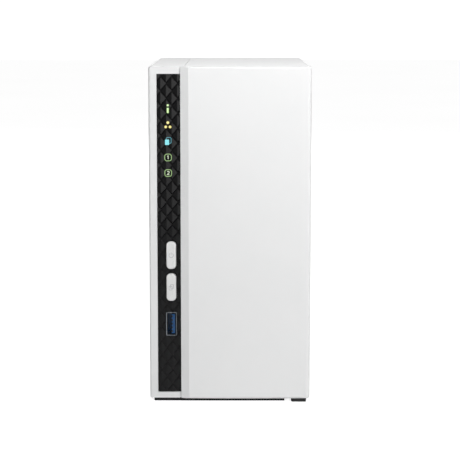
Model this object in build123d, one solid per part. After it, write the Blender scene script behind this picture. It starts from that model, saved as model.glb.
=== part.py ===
"""A two-bay desktop network attached storage unit, as an assembly of separate solids.

The unit stands upright. +X is to the right of the front face, +Y runs back, +Z is up.
The origin is on the standing surface, under the middle of the case. Sizes are millimetres.

The case is two mouldings. The main housing is the left wall, the display column, a strip of
the top and the base. The side cover is the broad front panel, the rest of the top and the
right wall, and it slides forwards off the housing. Inside, a folded steel cage holds two
upright 3.5 inch drives, and one board stands against the left wall.
"""

from build123d import *
import math
import os

# ---------------------------------------------------------------- driving dimensions
WIDTH = 90.18
HEIGHT = 188.64
DEPTH = 156.26
WALL = 2.4
FOOT_HEIGHT = 2.0
SEAM = 0.25

LEFT = -WIDTH / 2
RIGHT = WIDTH / 2
FRONT = -DEPTH / 2
BACK = DEPTH / 2
TOP = HEIGHT
FLOOR = FOOT_HEIGHT

INNER_LEFT = LEFT + WALL
INNER_RIGHT = RIGHT - WALL
INNER_TOP = TOP - WALL
INNER_FLOOR = FLOOR + WALL

# The display column stands back from the cover's broad panel, which laps over its edge.
COLUMN_SETBACK = 3.0
COLUMN_FRONT = FRONT + COLUMN_SETBACK
COLUMN_BACK = COLUMN_FRONT + WALL
COLUMN_RIGHT = -21.0
SEAM_X = -25.3
BEVEL_FOOT_X = -27.5
BEVEL_TOP_X = -23.0
GROOVE_WIDTH = 0.65
GROOVE_DEPTH = 1.1
PANEL_BACK = COLUMN_FRONT - SEAM
PANEL_BOW = 0.7
COVER_EDGE_RADIUS = 2.6
COVER_RIM_RADIUS = 1.0
BASE_RIGHT = 30.9

# Window in the column, and the dark trim in it.
TRIM_X = (-40.6, -24.5)
TRIM_Z = (5.3, 184.6)
TRIM_FIT = 0.15
TRIM_FRONT = COLUMN_FRONT + 0.5
TRIM_FLANGE = 1.2
LENS_X = -34.4
LENS_SIZE = 4.6
LENS_Z = (165.1, 156.3, 147.4, 138.35, 129.7)
CONTROL_X = -32.9
BUTTON_SIZE = (5.4, 15.5)
BUTTON_CORNER = 2.25
BUTTON_PROUD = 0.9
BUTTON_FIT = 0.25
STEM_RADIUS = 1.2
BUTTON_Z = {"power": 83.5, "copy": 65.35}
FRONT_USB_Z = 44.4

# The board stands against the left wall; its parts are on the +X side, and the USB sockets lie on it.
USB_SIZE = (5.9, 13.3, 14.2)
BOARD_THICKNESS = 1.6
BOARD_FACE = CONTROL_X - USB_SIZE[0] / 2
BOARD_X = (BOARD_FACE - BOARD_THICKNESS, BOARD_FACE)
BOARD_Y = (-69.0, 75.2)
BOARD_Z = (7.0, 178.0)
BOARD_SCREWS = ((-60.0, 20.0), (-60.0, 168.0), (62.0, 166.0), (40.0, 15.0))
USB_LIP = (6.0, 13.4, 0.8)
USB_SHEET = 0.4
USB_TONGUE = 1.9
REAR_USB_Z = (88.0, 108.0)
LAN_Z = 64.0
LAN_SIZE = (13.4, 16.0, 21.0)
JACK_Z = 34.0
JACK_SIZE = (11.0, 9.0, 14.3)
JACK_BORE = 3.15
JACK_PIN = 1.0
RESET_Z = 130.0
RESET_X = -33.0
LOCK_X = -31.6
LOCK_Z = 152.0
PORT_FACE = BACK - 0.15

# Two upright 3.5 inch drives: thickness along X, width along Y, length along Z.
DRIVE_SIZE = (26.1, 101.6, 147.0)
DRIVE_CENTRES = (-2.35, 26.15)
DRIVE_Y = (-67.5, 34.1)
DRIVE_TAP_X = -6.7
DRIVE_Z = (20.0, 167.0)
DRIVE_BOARD = 1.6
DRIVE_LID = 1.0
DRIVE_HOLES_Z = (48.5, 150.1)
PLATTER_RADIUS = 47.5
PLATTER_THICKNESS = 1.27
SPINDLE = (-16.7, 115.0)
PIVOT = (8.0, 52.0)
ARM_REACH = 50.0
PARKED_GAP = 2.0

# Folded steel cage round the drives.
SHEET = 1.0
CAGE_X = (-17.6, 41.4)
CAGE_Y = (DRIVE_Y[0] - SHEET, 36.5)
CAGE_Z = (14.0, 172.0)
CAGE_LEGS_X = (-11.0, 21.0)
CAGE_LEG_WIDTH = 10.0

# Carrier board under the drives.
CARRIER_X = (-34.0, 24.0)
CARRIER_Y = (-50.0, 15.0)
CARRIER_Z = (10.6, 12.2)
SOCKET_Y = (-47.5, -4.5)
SOCKET_TOP = 19.7

# Fan behind the cage.
FAN_SIZE = 60.0
FAN_DEPTH = 25.0
FAN_CENTRE = (11.5, 120.0)
FAN_HOLES = 25.0
FAN_BORE = 28.3
FAN_TIP = 27.5
FAN_HUB = 13.5
FAN_BACK = BACK - WALL
FAN_FRONT = FAN_BACK - FAN_DEPTH
BLADES = 7
BLADE_PITCH = 38.0
FAN_PLUG = (44.5, 73.0)
FAN_PLUG_HEIGHT = 7.0
LEAD_RADIUS = 1.0
GRILLE_RADIUS = 27.5
GRILLE_CELL = 4.3
GRILLE_PITCH = 5.3

# Fasteners: shank and hole radii are close, so no thread is modelled.
M3 = 1.5
M3_HOLE = 1.6
HEAD = 2.9
HEAD_RECESS = 3.2
PAD_DEPTH = 3.0
PANEL_SCREWS = ((-32.4, 182.2), (-32.4, 8.4), (24.0, 8.4))
COVER_SCREWS = ((36.5, 181.8), (38.9, 8.6))
BOSS_LENGTH = 10.0


# ---------------------------------------------------------------- helpers
def block(x, y, z):
    """A box from its low and high limits on each axis."""
    size = (x[1] - x[0], y[1] - y[0], z[1] - z[0])
    centre = ((x[0] + x[1]) / 2, (y[0] + y[1]) / 2, (z[0] + z[1]) / 2)
    return Pos(*centre) * Box(*size)


def around(centre, size):
    """Low and high limits of a length centred on a point."""
    return (centre - size / 2, centre + size / 2)


def rod_x(radius, x, y, z):
    """A cylinder along X between two limits."""
    return Pos((x[0] + x[1]) / 2, y, z) * Rot(0, 90, 0) * Cylinder(radius, x[1] - x[0])


def rod_y(radius, x, y, z):
    """A cylinder along Y between two limits."""
    return Pos(x, (y[0] + y[1]) / 2, z) * Rot(90, 0, 0) * Cylinder(radius, y[1] - y[0])


def rod_z(radius, x, y, z):
    """A cylinder along Z between two limits."""
    return Pos(x, y, (z[0] + z[1]) / 2) * Cylinder(radius, z[1] - z[0])


def prism_x(sketch, x):
    """A sketch drawn in Y and Z, extruded along X."""
    return extrude(Plane.YZ.offset(x[0]) * sketch, amount=x[1] - x[0])


def prism_y(sketch, y):
    """A sketch drawn in X and Z, extruded along Y."""
    return extrude(Plane.XZ.offset(-y[1]) * sketch, amount=y[1] - y[0])


def prism_z(sketch, z):
    """A sketch drawn in X and Y, extruded along Z."""
    return extrude(Plane.XY.offset(z[0]) * sketch, amount=z[1] - z[0])


def soft_block(x, y, z, axis, radius):
    """A box whose edges along one axis are rounded."""
    body = block(x, y, z)
    return fillet(body.edges().filter_by(axis), radius)


def group(pieces):
    """Several separate solids as one shape."""
    return Compound(children=[s for p in pieces for s in p.solids()])


def pan_screw_y(x, z, head_y, head_depth, shank, direction):
    """A cross-head screw along Y. Direction is +1 where it points back, -1 where it points forwards."""
    head_end = head_y + direction * head_depth
    tip = head_end + direction * shank
    head = rod_y(HEAD, x, sorted((head_y, head_end)), z)
    body = rod_y(M3, x, sorted((head_end, tip)), z)
    depth = sorted((head_y - direction, head_y + direction * 0.9))
    cross = block(around(x, 3.2), depth, around(z, 0.8))
    cross += block(around(x, 0.8), depth, around(z, 3.2))
    return head + body - cross


# ---------------------------------------------------------------- casing
def main_housing():
    """Left wall, grooved display column, strip of the top and base, with bosses, ledges and vents."""
    wall = block((LEFT, INNER_LEFT), (COLUMN_FRONT, BACK), (FLOOR, TOP))
    top = block((LEFT, SEAM_X), (COLUMN_FRONT, BACK), (INNER_TOP, TOP))
    base = block((LEFT, BASE_RIGHT), (COLUMN_FRONT, BACK), (FLOOR, INNER_FLOOR))
    column = block((LEFT, SEAM_X), (COLUMN_FRONT, COLUMN_BACK), (FLOOR, TOP))
    shell = wall + top + base + column
    long_edges = shell.edges().filter_by(Axis.Y)
    outer_y = [e for e in long_edges if e.center().X < LEFT + 0.1]
    outer_z = [e for e in shell.edges().filter_by(Axis.Z) if e.center().X < LEFT + 0.1]
    shell = fillet(outer_y + outer_z, 1.1)
    shell += block((SEAM_X, COLUMN_RIGHT), (COLUMN_FRONT, COLUMN_BACK), (FLOOR + WALL, INNER_TOP - SEAM))
    shell -= block(TRIM_X, (FRONT, COLUMN_BACK + 1), TRIM_Z)
    groove_x = (BEVEL_FOOT_X - GROOVE_WIDTH, BEVEL_FOOT_X + 0.3)
    shell -= block(groove_x, (FRONT, COLUMN_FRONT + GROOVE_DEPTH), (FLOOR - 1, TOP + 1))
    shell += guide_ledges()
    shell += housing_bosses()
    return shell - housing_holes()


def guide_ledges():
    """Two long ledges that the cover slides on: one under the top seam, one over the base seam."""
    run = (COLUMN_BACK + TRIM_FLANGE + SEAM, BACK - WALL - PAD_DEPTH)
    high = (INNER_TOP - 2.3, INNER_TOP - SEAM)
    top = block((-30.0, -21.5), run, high)
    top += block((-30.0, SEAM_X - 0.7), run, (high[0], INNER_TOP))
    low = (INNER_FLOOR + SEAM, INNER_FLOOR + 2.3)
    base = block((27.0, 35.0), run, low)
    base += block((27.0, BASE_RIGHT - 0.4), run, (INNER_FLOOR, low[1]))
    return top + base


def housing_bosses():
    """Standoffs for the board and bosses for the rear panel's screws."""
    y = (BACK - WALL - PAD_DEPTH - BOSS_LENGTH, BACK - WALL - PAD_DEPTH)
    upper, lower, inner = PANEL_SCREWS
    bosses = block(around(upper[0], 6.0), y, (178.6, INNER_TOP))
    bosses += block(around(lower[0], 6.0), y, (INNER_FLOOR, 12.2))
    bosses += block(around(inner[0], 6.0), y, (INNER_FLOOR, 12.2))
    for board_y, board_z in BOARD_SCREWS:
        bosses += rod_x(3.2, (INNER_LEFT, BOARD_X[0]), board_y, board_z)
    return bosses


def housing_holes():
    """Screw holes, intake slots in the base and side vents beside the board."""
    reach = (BACK - WALL - PAD_DEPTH - BOSS_LENGTH + 1, BACK)
    holes = [rod_y(M3_HOLE, x, reach, z) for x, z in PANEL_SCREWS]
    holes += [rod_x(1.3, (INNER_LEFT + 0.4, BOARD_X[0]), y, z) for y, z in BOARD_SCREWS]
    for x in CAGE_LEGS_X:
        for y in cage_screw_y():
            holes.append(rod_z(M3_HOLE, x, y, (FLOOR + 0.5, INNER_FLOOR)))
    for column_x in (-4.0, 18.0):
        for row in range(9):
            y = -46.0 + row * 8.5
            slot = SlotOverall(17.0, 3.0)
            holes.append(prism_z(Pos(column_x, y) * slot, (0.0, INNER_FLOOR + 0.2)))
    for row in range(12):
        z = 104.0 + row * 5.2
        slot = Pos(26.0, z) * SlotOverall(48.0, 2.4)
        holes.append(prism_x(slot, (LEFT - 1, INNER_LEFT + 0.5)))
    return holes


def side_cover():
    """Broad front panel with a bevelled edge, top, right wall and a base flange, as one shell."""
    bow_y = FRONT + PANEL_BOW
    middle_x = (BEVEL_TOP_X + RIGHT) / 2
    outline = Polyline(
        (BEVEL_FOOT_X, PANEL_BACK),
        (BEVEL_TOP_X, bow_y),
    )
    outline += ThreePointArc((BEVEL_TOP_X, bow_y), (middle_x, FRONT), (RIGHT, bow_y))
    left = SEAM_X + SEAM
    outline += Polyline(
        (RIGHT, bow_y),
        (RIGHT, BACK),
        (left, BACK),
        (left, PANEL_BACK),
        (BEVEL_FOOT_X, PANEL_BACK),
    )
    shell = prism_z(make_face(outline), (FLOOR, TOP))
    upright = shell.edges().filter_by(Axis.Z)
    corner = [e for e in upright if e.center().X > RIGHT - 0.1 and e.center().Y < 0]
    shell = fillet(corner, COVER_EDGE_RADIUS)
    flat = [e for e in shell.edges() if not vertical(e)]
    rims = [e for e in flat if e.center().X > RIGHT - 3 or (e.length > 50 and e.center().Y < FRONT + 2)]
    shell = fillet(rims, COVER_RIM_RADIUS)
    inner_x = (LEFT, INNER_RIGHT)
    shell -= block(inner_x, (PANEL_BACK, BACK + 1), (INNER_FLOOR, INNER_TOP))
    shell -= block((LEFT, BASE_RIGHT + SEAM), (PANEL_BACK, BACK + 1), (0, INNER_FLOOR + 1))
    shell += cover_bosses() + cover_ribs()
    holes = [rod_y(1.65, x, (BACK - 20, BACK), z) for x, z in COVER_SCREWS]
    return shell - holes


def vertical(edge):
    """True for an edge that stands along Z."""
    box = edge.bounding_box().size
    return box.Z > max(box.X, box.Y)


def cover_bosses():
    """Blocks at the cover's rear corners that take its two screws."""
    y = (BACK - WALL - PAD_DEPTH - BOSS_LENGTH, BACK - WALL - PAD_DEPTH - 0.2)
    upper = block((32.2, INNER_RIGHT), y, (177.8, INNER_TOP))
    lower = block((35.9, INNER_RIGHT), y, (INNER_FLOOR, 12.6))
    return upper + lower


def cover_ribs():
    """Stiffening ribs inside the broad front panel and along the right wall."""
    ribs = block((COLUMN_RIGHT + 1.5, INNER_RIGHT), (PANEL_BACK, PANEL_BACK + 1.6), (174.0, 175.4))
    for z in (60.0, 120.0):
        ribs += block((COLUMN_RIGHT + 1.5, INNER_RIGHT), (PANEL_BACK, PANEL_BACK + 1.6), around(z, 1.4))
    ribs += block((INNER_RIGHT - 0.8, INNER_RIGHT), (PANEL_BACK, 60.0), (174.0, 175.4))
    return ribs


def rear_panel():
    """Back wall with the fan grille, connector openings, lock slot and countersunk screw seats."""
    x = (INNER_LEFT + SEAM, INNER_RIGHT - SEAM)
    z = (INNER_FLOOR + SEAM, INNER_TOP - SEAM)
    y = (BACK - WALL, BACK)
    panel = soft_block(x, y, z, Axis.Y, 1.0)
    for screw_x, screw_z in PANEL_SCREWS + COVER_SCREWS:
        pad_x = (max(screw_x - 3.8, BOARD_FACE + SEAM), min(screw_x + 3.8, x[1]))
        pad_z = (max(screw_z - 3.8, z[0]), min(screw_z + 3.8, z[1]))
        panel += block(pad_x, (y[0] - PAD_DEPTH, y[0]), pad_z)
    cuts = []
    for screw_x, screw_z in PANEL_SCREWS + COVER_SCREWS:
        cuts.append(rod_y(HEAD_RECESS, screw_x, (y[0] - 0.8, BACK + 1), screw_z))
        cuts.append(rod_y(M3_HOLE, screw_x, (y[0] - PAD_DEPTH - 1, BACK), screw_z))
    cuts += grille_cells(y) + connector_openings(y)
    for dx, dz in fan_corners():
        cuts.append(countersink(FAN_CENTRE[0] + dx, FAN_CENTRE[1] + dz, 0.1))
    return panel - cuts


def grille_cells(y):
    """Hexagonal air holes in staggered rows, kept inside the grille's circle."""
    cells = []
    rise = GRILLE_PITCH * math.sqrt(3) / 2
    hexagon = RegularPolygon(GRILLE_CELL / 2, 6, major_radius=False, rotation=30)
    for row in range(-6, 7):
        shift = GRILLE_PITCH / 2 if row % 2 else 0
        for column in range(-6, 7):
            x = column * GRILLE_PITCH + shift
            z = row * rise
            if math.hypot(x, z) + GRILLE_CELL / 2 < GRILLE_RADIUS:
                place = Pos(FAN_CENTRE[0] + x, FAN_CENTRE[1] + z)
                cells.append(prism_y(place * hexagon, (y[0] - 0.2, y[1] + 0.2)))
    return cells


def connector_openings(y):
    """Openings for the network, USB and power connectors, the reset pin and the security lock."""
    through = (y[0] - 0.5, y[1] + 0.5)
    fit = 0.25
    left = BOARD_FACE - fit
    lan = block((left, BOARD_FACE + LAN_SIZE[0] + fit), through, around(LAN_Z, LAN_SIZE[1] + 2 * fit))
    jack = block((left, BOARD_FACE + JACK_SIZE[0] + fit), through, around(JACK_Z, JACK_SIZE[1] + 2 * fit))
    cuts = [lan, jack]
    for z in REAR_USB_Z:
        width, length = (side + 2 * fit for side in USB_LIP[:2])
        cuts.append(block(around(CONTROL_X, width), through, around(z, length)))
    cuts.append(rod_y(1.0, RESET_X, through, RESET_Z))
    cuts.append(prism_y(Pos(LOCK_X, LOCK_Z) * Rot(0, 0, 90) * SlotOverall(7.0, 3.0), through))
    return cuts


def fan_corners():
    """Offsets of the fan's four fixing holes from its centre."""
    return [(sx * FAN_HOLES, sz * FAN_HOLES) for sx in (-1, 1) for sz in (-1, 1)]


def countersink(x, z, ease):
    """The seat of one fan screw in the rear panel: a cone and its through hole."""
    cone = Pos(x, BACK - 0.9, z) * Rot(-90, 0, 0) * Cone(1.75 + ease, 3.3 + ease, 1.8)
    return cone + rod_y(1.75 + ease, x, (BACK - WALL - 1, BACK), z)


def front_trim():
    """Dark insert of the display column, with openings for the two buttons and the front USB port."""
    x = (TRIM_X[0] + TRIM_FIT, TRIM_X[1] - TRIM_FIT)
    z = (TRIM_Z[0] + TRIM_FIT, TRIM_Z[1] - TRIM_FIT)
    plate = block(x, (TRIM_FRONT, COLUMN_BACK), z)
    behind = (COLUMN_BACK, COLUMN_BACK + TRIM_FLANGE)
    plate += block((x[0] - 1.2, x[1] + 1.2), behind, (z[0] - 0.9, z[1] + 0.9))
    through = (TRIM_FRONT - 1, COLUMN_BACK + TRIM_FLANGE + 1)
    cuts = []
    width, length = (side + 2 * BUTTON_FIT for side in BUTTON_SIZE)
    for button_z in BUTTON_Z.values():
        opening = Pos(CONTROL_X, button_z) * RectangleRounded(width, length, BUTTON_CORNER + BUTTON_FIT)
        cuts.append(prism_y(opening, through))
    usb = (USB_LIP[0] + 0.3, USB_LIP[1] + 0.3)
    cuts.append(block(around(CONTROL_X, usb[0]), through, around(FRONT_USB_Z, usb[1])))
    return plate - cuts


def light_pipe():
    """Clear moulding behind the trim: a thin spine with one light guide for each of the five lamps."""
    back = COLUMN_BACK + TRIM_FLANGE
    pipe = block(around(LENS_X, 2.4), (back, back + 0.8), (LENS_Z[-1] - 3, LENS_Z[0] + 3))
    for z in LENS_Z:
        pipe += soft_block(around(LENS_X, LENS_SIZE), (back, back + 1.5), around(z, LENS_SIZE), Axis.Y, 0.6)
    return pipe


def housing_feet():
    """The two long rubber feet across the housing's base."""
    x = (LEFT + 2.2, BASE_RIGHT)
    front = soft_block(x, (FRONT + 4.35, FRONT + 16.0), (0, FLOOR), Axis.Z, 0.8)
    rear = soft_block(x, (BACK - 18.0, BACK - 6.0), (0, FLOOR), Axis.Z, 0.8)
    return group([front, rear])


def cover_feet():
    """The two short rubber feet on the cover's base flange."""
    x = (34.6, 43.0)
    front = soft_block(x, (FRONT + 1.4, FRONT + 13.4), (0, FLOOR), Axis.Z, 0.8)
    rear = soft_block(x, (BACK - 18.0, BACK - 6.0), (0, FLOOR), Axis.Z, 0.8)
    return group([front, rear])


def screws_on_rear(places):
    """Screws seated in the rear panel's recesses, pointing forwards."""
    seat = BACK - WALL - 0.8
    return group([pan_screw_y(x, z, seat + 2.0, 2.0, 9.5, -1) for x, z in places])


def lock_plate():
    """Steel plate behind the security lock slot."""
    y = (BACK - WALL - 1.5, BACK - WALL)
    plate = block((BOARD_FACE + 0.4, LOCK_X + 5.4), y, around(LOCK_Z, 15.0))
    slot = Pos(LOCK_X, LOCK_Z) * Rot(0, 0, 90) * SlotOverall(7.0, 3.0)
    return plate - prism_y(slot, (y[0] - 1, y[1] + 1))


# ---------------------------------------------------------------- controls
def button_cap(z):
    """A push button: an oblong cap, a retaining flange behind the trim and a stem into its switch."""
    front = TRIM_FRONT - BUTTON_PROUD
    flange = (COLUMN_BACK + TRIM_FLANGE + 0.1, COLUMN_BACK + TRIM_FLANGE + 1.0)
    cap = prism_y(Pos(CONTROL_X, z) * RectangleRounded(*BUTTON_SIZE, BUTTON_CORNER), (front, flange[1]))
    rim = [e for e in cap.edges() if e.center().Y < front + 0.01]
    cap = fillet(rim, 0.5)
    cap += block(around(CONTROL_X, 7.8), flange, around(z, 17.2))
    return cap + rod_y(STEM_RADIUS, CONTROL_X, (flange[1], switch_front() + 2.2), z)


def switch_front():
    """Y of the front face of the two push switches on the board's front edge."""
    return BOARD_Y[0] + 2.8


def push_switch(z):
    """Side-acting push switch on the board, bored for its button's stem."""
    front = switch_front()
    body = block((BOARD_FACE, CONTROL_X + 3.0), (front, front + 4.8), around(z, 6.2))
    return body - rod_y(STEM_RADIUS + 0.05, CONTROL_X, (front - 1, front + 3.4), z)


def reset_button():
    """Small plunger behind the pinhole in the rear panel."""
    tip = BACK - WALL - 0.9
    head = rod_y(1.3, RESET_X, (tip - 1.6, tip), RESET_Z)
    return head + rod_y(0.9, RESET_X, (tip - 5.6, tip - 1.6), RESET_Z)


def reset_switch():
    """Push switch of the reset button, at the board's rear edge."""
    front = BACK - WALL - 3.2
    body = block((BOARD_FACE, RESET_X + 3.0), (front - 5.0, front), around(RESET_Z, 6.2))
    return body - rod_y(0.95, RESET_X, (front - 3.9, front + 1), RESET_Z)


# ---------------------------------------------------------------- connectors
def usb_shell(z, mouth, inward):
    """Folded metal shell of a USB type A socket. Inward is +1 where the socket runs back from its mouth."""
    end = mouth + inward * USB_SIZE[2]
    y = sorted((mouth, end))
    outer = soft_block(around(CONTROL_X, USB_SIZE[0]), y, around(z, USB_SIZE[1]), Axis.Y, 0.6)
    lip_y = sorted((mouth, mouth + inward * USB_LIP[2]))
    outer += soft_block(around(CONTROL_X, USB_LIP[0]), lip_y, around(z, USB_LIP[1]), Axis.Y, 0.6)
    cavity_y = sorted((mouth - inward, end - inward * 1.2))
    sheet = 2 * USB_SHEET
    cavity = block(around(CONTROL_X, USB_SIZE[0] - sheet), cavity_y, around(z, USB_SIZE[1] - sheet))
    return outer - cavity


def usb_insert(z, mouth, inward):
    """Plastic tongue and back block inside a USB shell."""
    inner = (USB_SIZE[0] - 2 * USB_SHEET, USB_SIZE[1] - 2 * USB_SHEET)
    end = mouth + inward * (USB_SIZE[2] - 1.2)
    rear = sorted((end, end - inward * 3.0))
    back = block(around(CONTROL_X, inner[0] - 0.04), rear, around(z, inner[1] - 0.04))
    right = CONTROL_X + inner[0] / 2 - 0.55
    tongue_y = sorted((mouth + inward * 0.8, end - inward * 3.0))
    return back + block((right - USB_TONGUE, right), tongue_y, around(z, inner[1] - 1.6))


def lan_port():
    """Network socket: a shielded block with the plug cavity and its latch notch."""
    x = (BOARD_FACE, BOARD_FACE + LAN_SIZE[0])
    y = (PORT_FACE - LAN_SIZE[2], PORT_FACE)
    body = soft_block(x, y, around(LAN_Z, LAN_SIZE[1]), Axis.Y, 0.4)
    body -= block((x[0] + 1.9, x[0] + 9.3), (PORT_FACE - 15.0, BACK + 1), around(LAN_Z, 11.9))
    body -= block((x[0] + 9.2, x[0] + 10.9), (PORT_FACE - 13.0, BACK + 1), around(LAN_Z, 6.2))
    return body - block((x[0] + 10.8, x[0] + 12.2), (PORT_FACE - 13.0, BACK + 1), around(LAN_Z, 3.4))


def power_jack():
    """Barrel socket for the 12 V supply, bored for the plug."""
    x = (BOARD_FACE, BOARD_FACE + JACK_SIZE[0])
    y = (PORT_FACE - JACK_SIZE[2], PORT_FACE)
    body = block(x, y, around(JACK_Z, JACK_SIZE[1]))
    return body - rod_y(JACK_BORE, sum(x) / 2, (PORT_FACE - 10.5, BACK + 1), JACK_Z)


def power_jack_pin():
    """Centre contact of the barrel socket."""
    x = BOARD_FACE + JACK_SIZE[0] / 2
    return rod_y(JACK_PIN, x, (PORT_FACE - 10.5, PORT_FACE - 1.2), JACK_Z)


# ---------------------------------------------------------------- board
def mainboard():
    """Printed circuit board against the left wall."""
    board = block(BOARD_X, BOARD_Y, BOARD_Z)
    holes = [rod_x(1.65, (BOARD_X[0] - 1, BOARD_FACE + 1), y, z) for y, z in BOARD_SCREWS]
    notch = block(BOARD_X, (BOARD_Y[0], -66.0), (93.5, 122.0))
    return board - holes - notch


def mainboard_screws():
    """Four screws that hold the board to its standoffs."""
    screws = []
    for y, z in BOARD_SCREWS:
        head = rod_x(HEAD, (BOARD_FACE, BOARD_FACE + 1.8), y, z)
        shank = rod_x(1.25, (BOARD_FACE - 5.4, BOARD_FACE), y, z)
        drive = (BOARD_FACE + 1.0, BOARD_FACE + 2.8)
        cross = block(drive, around(y, 3.2), around(z, 0.8))
        cross += block(drive, around(y, 0.8), around(z, 3.2))
        screws.append(head + shank - cross)
    return group(screws)


def on_board(y, z, height, lift=0.0):
    """A block standing on the board's +X face."""
    return block((BOARD_FACE + lift, BOARD_FACE + lift + height), y, z)


def heatsink():
    """Finned aluminium heatsink over the processor."""
    y = (-6.0, 34.0)
    z = (92.0, 132.0)
    sink = on_board(y, z, 2.6, 1.6)
    fins = 9
    pitch = (y[1] - y[0] - 1.2) / (fins - 1)
    for k in range(fins):
        start = y[0] + k * pitch
        sink += on_board((start, start + 1.2), z, 8.0, 4.2)
    return sink


def memory_chips():
    """Four memory packages beside the processor."""
    places = [(y, z) for y in (42.0, 54.0) for z in (100.0, 118.0)]
    return group([on_board(around(y, 9.0), around(z, 12.5), 1.1) for y, z in places])


def board_chips():
    """Processor under the heatsink, and the flash, network, power and interface packages."""
    places = (
        (26.0, 72.0, 9.0, 9.0),
        (-30.0, 60.0, 12.0, 12.0),
        (-52.0, 30.0, 6.0, 6.0),
        (-20.0, 34.0, 9.0, 9.0),
        (42.0, 37.0, 6.0, 6.0),
        (-44.0, 140.0, 8.0, 8.0),
        (6.0, 74.0, 14.0, 9.0),
        (20.0, 154.0, 8.0, 5.0),
    )
    processor = on_board((4.0, 24.0), (102.0, 122.0), 1.6)
    return group([processor] + [on_board(around(y, ly), around(z, lz), 1.2) for y, z, ly, lz in places])


def inductors():
    """Moulded power inductors near the supply socket."""
    places = ((34.0, 46.0), (34.0, 56.0), (24.0, 46.0), (52.0, 46.0), (-6.0, 46.0))
    return group([soft_block(*standing_limits(y, z, 7.0, 3.6), Axis.X, 1.2) for y, z in places])


def standing_limits(y, z, size, height):
    """Limits of a square part standing on the board."""
    return (BOARD_FACE, BOARD_FACE + height), around(y, size), around(z, size)


def capacitors():
    """Round capacitor cans near the supply socket."""
    places = ((50.0, 24.0), (50.0, 34.5), (24.0, 34.0), (34.0, 30.0), (12.0, 56.0), (-14.0, 150.0))
    return group([rod_x(3.15, (BOARD_FACE, BOARD_FACE + 7.7), y, z) for y, z in places])


def coin_cell():
    """Clock battery, flat against the board in its holder."""
    return rod_x(10.0, (BOARD_FACE + 1.4, BOARD_FACE + 4.6), -34.0, 108.0)


def coin_cell_holder():
    """Open plastic ring under and round the clock battery."""
    ring = rod_x(11.6, (BOARD_FACE, BOARD_FACE + 4.0), -34.0, 108.0)
    ring -= rod_x(10.1, (BOARD_FACE + 1.4, BOARD_FACE + 5.0), -34.0, 108.0)
    return ring - block((BOARD_FACE + 1.4, BOARD_FACE + 5.0), (-50.0, -18.0), (104.0, 112.0))


def status_leds():
    """Five side-firing lamps on the board's front edge, one behind each lens."""
    y = (COLUMN_BACK + TRIM_FLANGE + 1.7, COLUMN_BACK + TRIM_FLANGE + 4.6)
    return group([block((BOARD_FACE, LENS_X + 1.2), y, around(z, 2.4)) for z in LENS_Z])


def board_link():
    """Edge connector on the board that the carrier plugs into."""
    body = block((BOARD_FACE, -27.5), (-47.0, 7.0), (8.2, 14.6))
    return body - block((-34.1, -27.0), (-45.0, 5.0), (CARRIER_Z[0] - 0.1, CARRIER_Z[1] + 0.1))


def carrier_board():
    """Flat board under the drives, with a tongue on its left edge for the board link."""
    tongue = block((CARRIER_X[0], -27.0), (-44.8, 4.8), CARRIER_Z)
    return tongue + block((-27.2, CARRIER_X[1]), CARRIER_Y, CARRIER_Z)


def drive_socket_x(centre):
    """X of the mating plane of a drive's connector, near the drive's board side."""
    return centre - DRIVE_SIZE[0] / 2 + 4.4


def sata_sockets():
    """Two combined data and power sockets that stand on the carrier."""
    sockets = []
    for centre in DRIVE_CENTRES:
        x = drive_socket_x(centre)
        body = block(around(x, 5.6), SOCKET_Y, (CARRIER_Z[1], SOCKET_TOP))
        for y in blade_runs():
            body -= block(around(x, 2.0), (y[0] - 0.3, y[1] + 0.3), (14.6, SOCKET_TOP + 1))
        sockets.append(body)
    return group(sockets)


def blade_runs():
    """Y limits of the data blade and the power blade of a drive's connector."""
    return ((SOCKET_Y[0] + 3.0, SOCKET_Y[0] + 13.5), (SOCKET_Y[0] + 18.0, SOCKET_Y[1] - 3.0))


# ---------------------------------------------------------------- drives and cage
def drive_case(centre):
    """Cast body of a drive, hollowed for the platters and the head arms, with its fixed spindle."""
    low = centre - DRIVE_SIZE[0] / 2
    x = (low + DRIVE_BOARD, low + DRIVE_SIZE[0] - DRIVE_LID)
    case = soft_block(x, DRIVE_Y, DRIVE_Z, Axis.X, 3.0)
    well = (x[0] + 3.2, x[1] + 1)
    case -= rod_x(PLATTER_RADIUS + 1.3, well, *SPINDLE)
    case -= soft_block(well, (-58.0, 31.4), (33.0, 103.0), Axis.X, 6.0)
    case += rod_x(3.0, (well[0] - 0.5, x[1] - 1.5), *SPINDLE)
    case += rod_x(3.0, (well[0] - 0.5, x[1] - 1.5), *PIVOT)
    socket = drive_socket_x(centre)
    socket_y = (SOCKET_Y[0] - 0.2, SOCKET_Y[1] + 0.2)
    case -= block(around(socket, 6.2), socket_y, (DRIVE_Z[0] - 1, DRIVE_Z[0] + 7.1))
    taps = [rod_y(1.75, centre + DRIVE_TAP_X, (DRIVE_Y[0] - 1, DRIVE_Y[0] + 6), z) for z in DRIVE_HOLES_Z]
    return case - taps


def drive_lid(centre):
    """Stamped lid with a raised ring over the spindle and clipped corners."""
    high = centre + DRIVE_SIZE[0] / 2
    y = (DRIVE_Y[0] + 1, DRIVE_Y[1] - 1)
    lid = soft_block((high - DRIVE_LID, high), y, (DRIVE_Z[0] + 6, DRIVE_Z[1] - 1), Axis.X, 6.0)
    ring = rod_x(19.0, (high - 0.45, high + 1), *SPINDLE) - rod_x(16.0, (high - 1, high + 2), *SPINDLE)
    panel = soft_block((high - 0.35, high + 1), (DRIVE_Y[0] + 9, DRIVE_Y[1] - 9), (33.0, 88.0), Axis.X, 4.0)
    return lid - ring - panel


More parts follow.
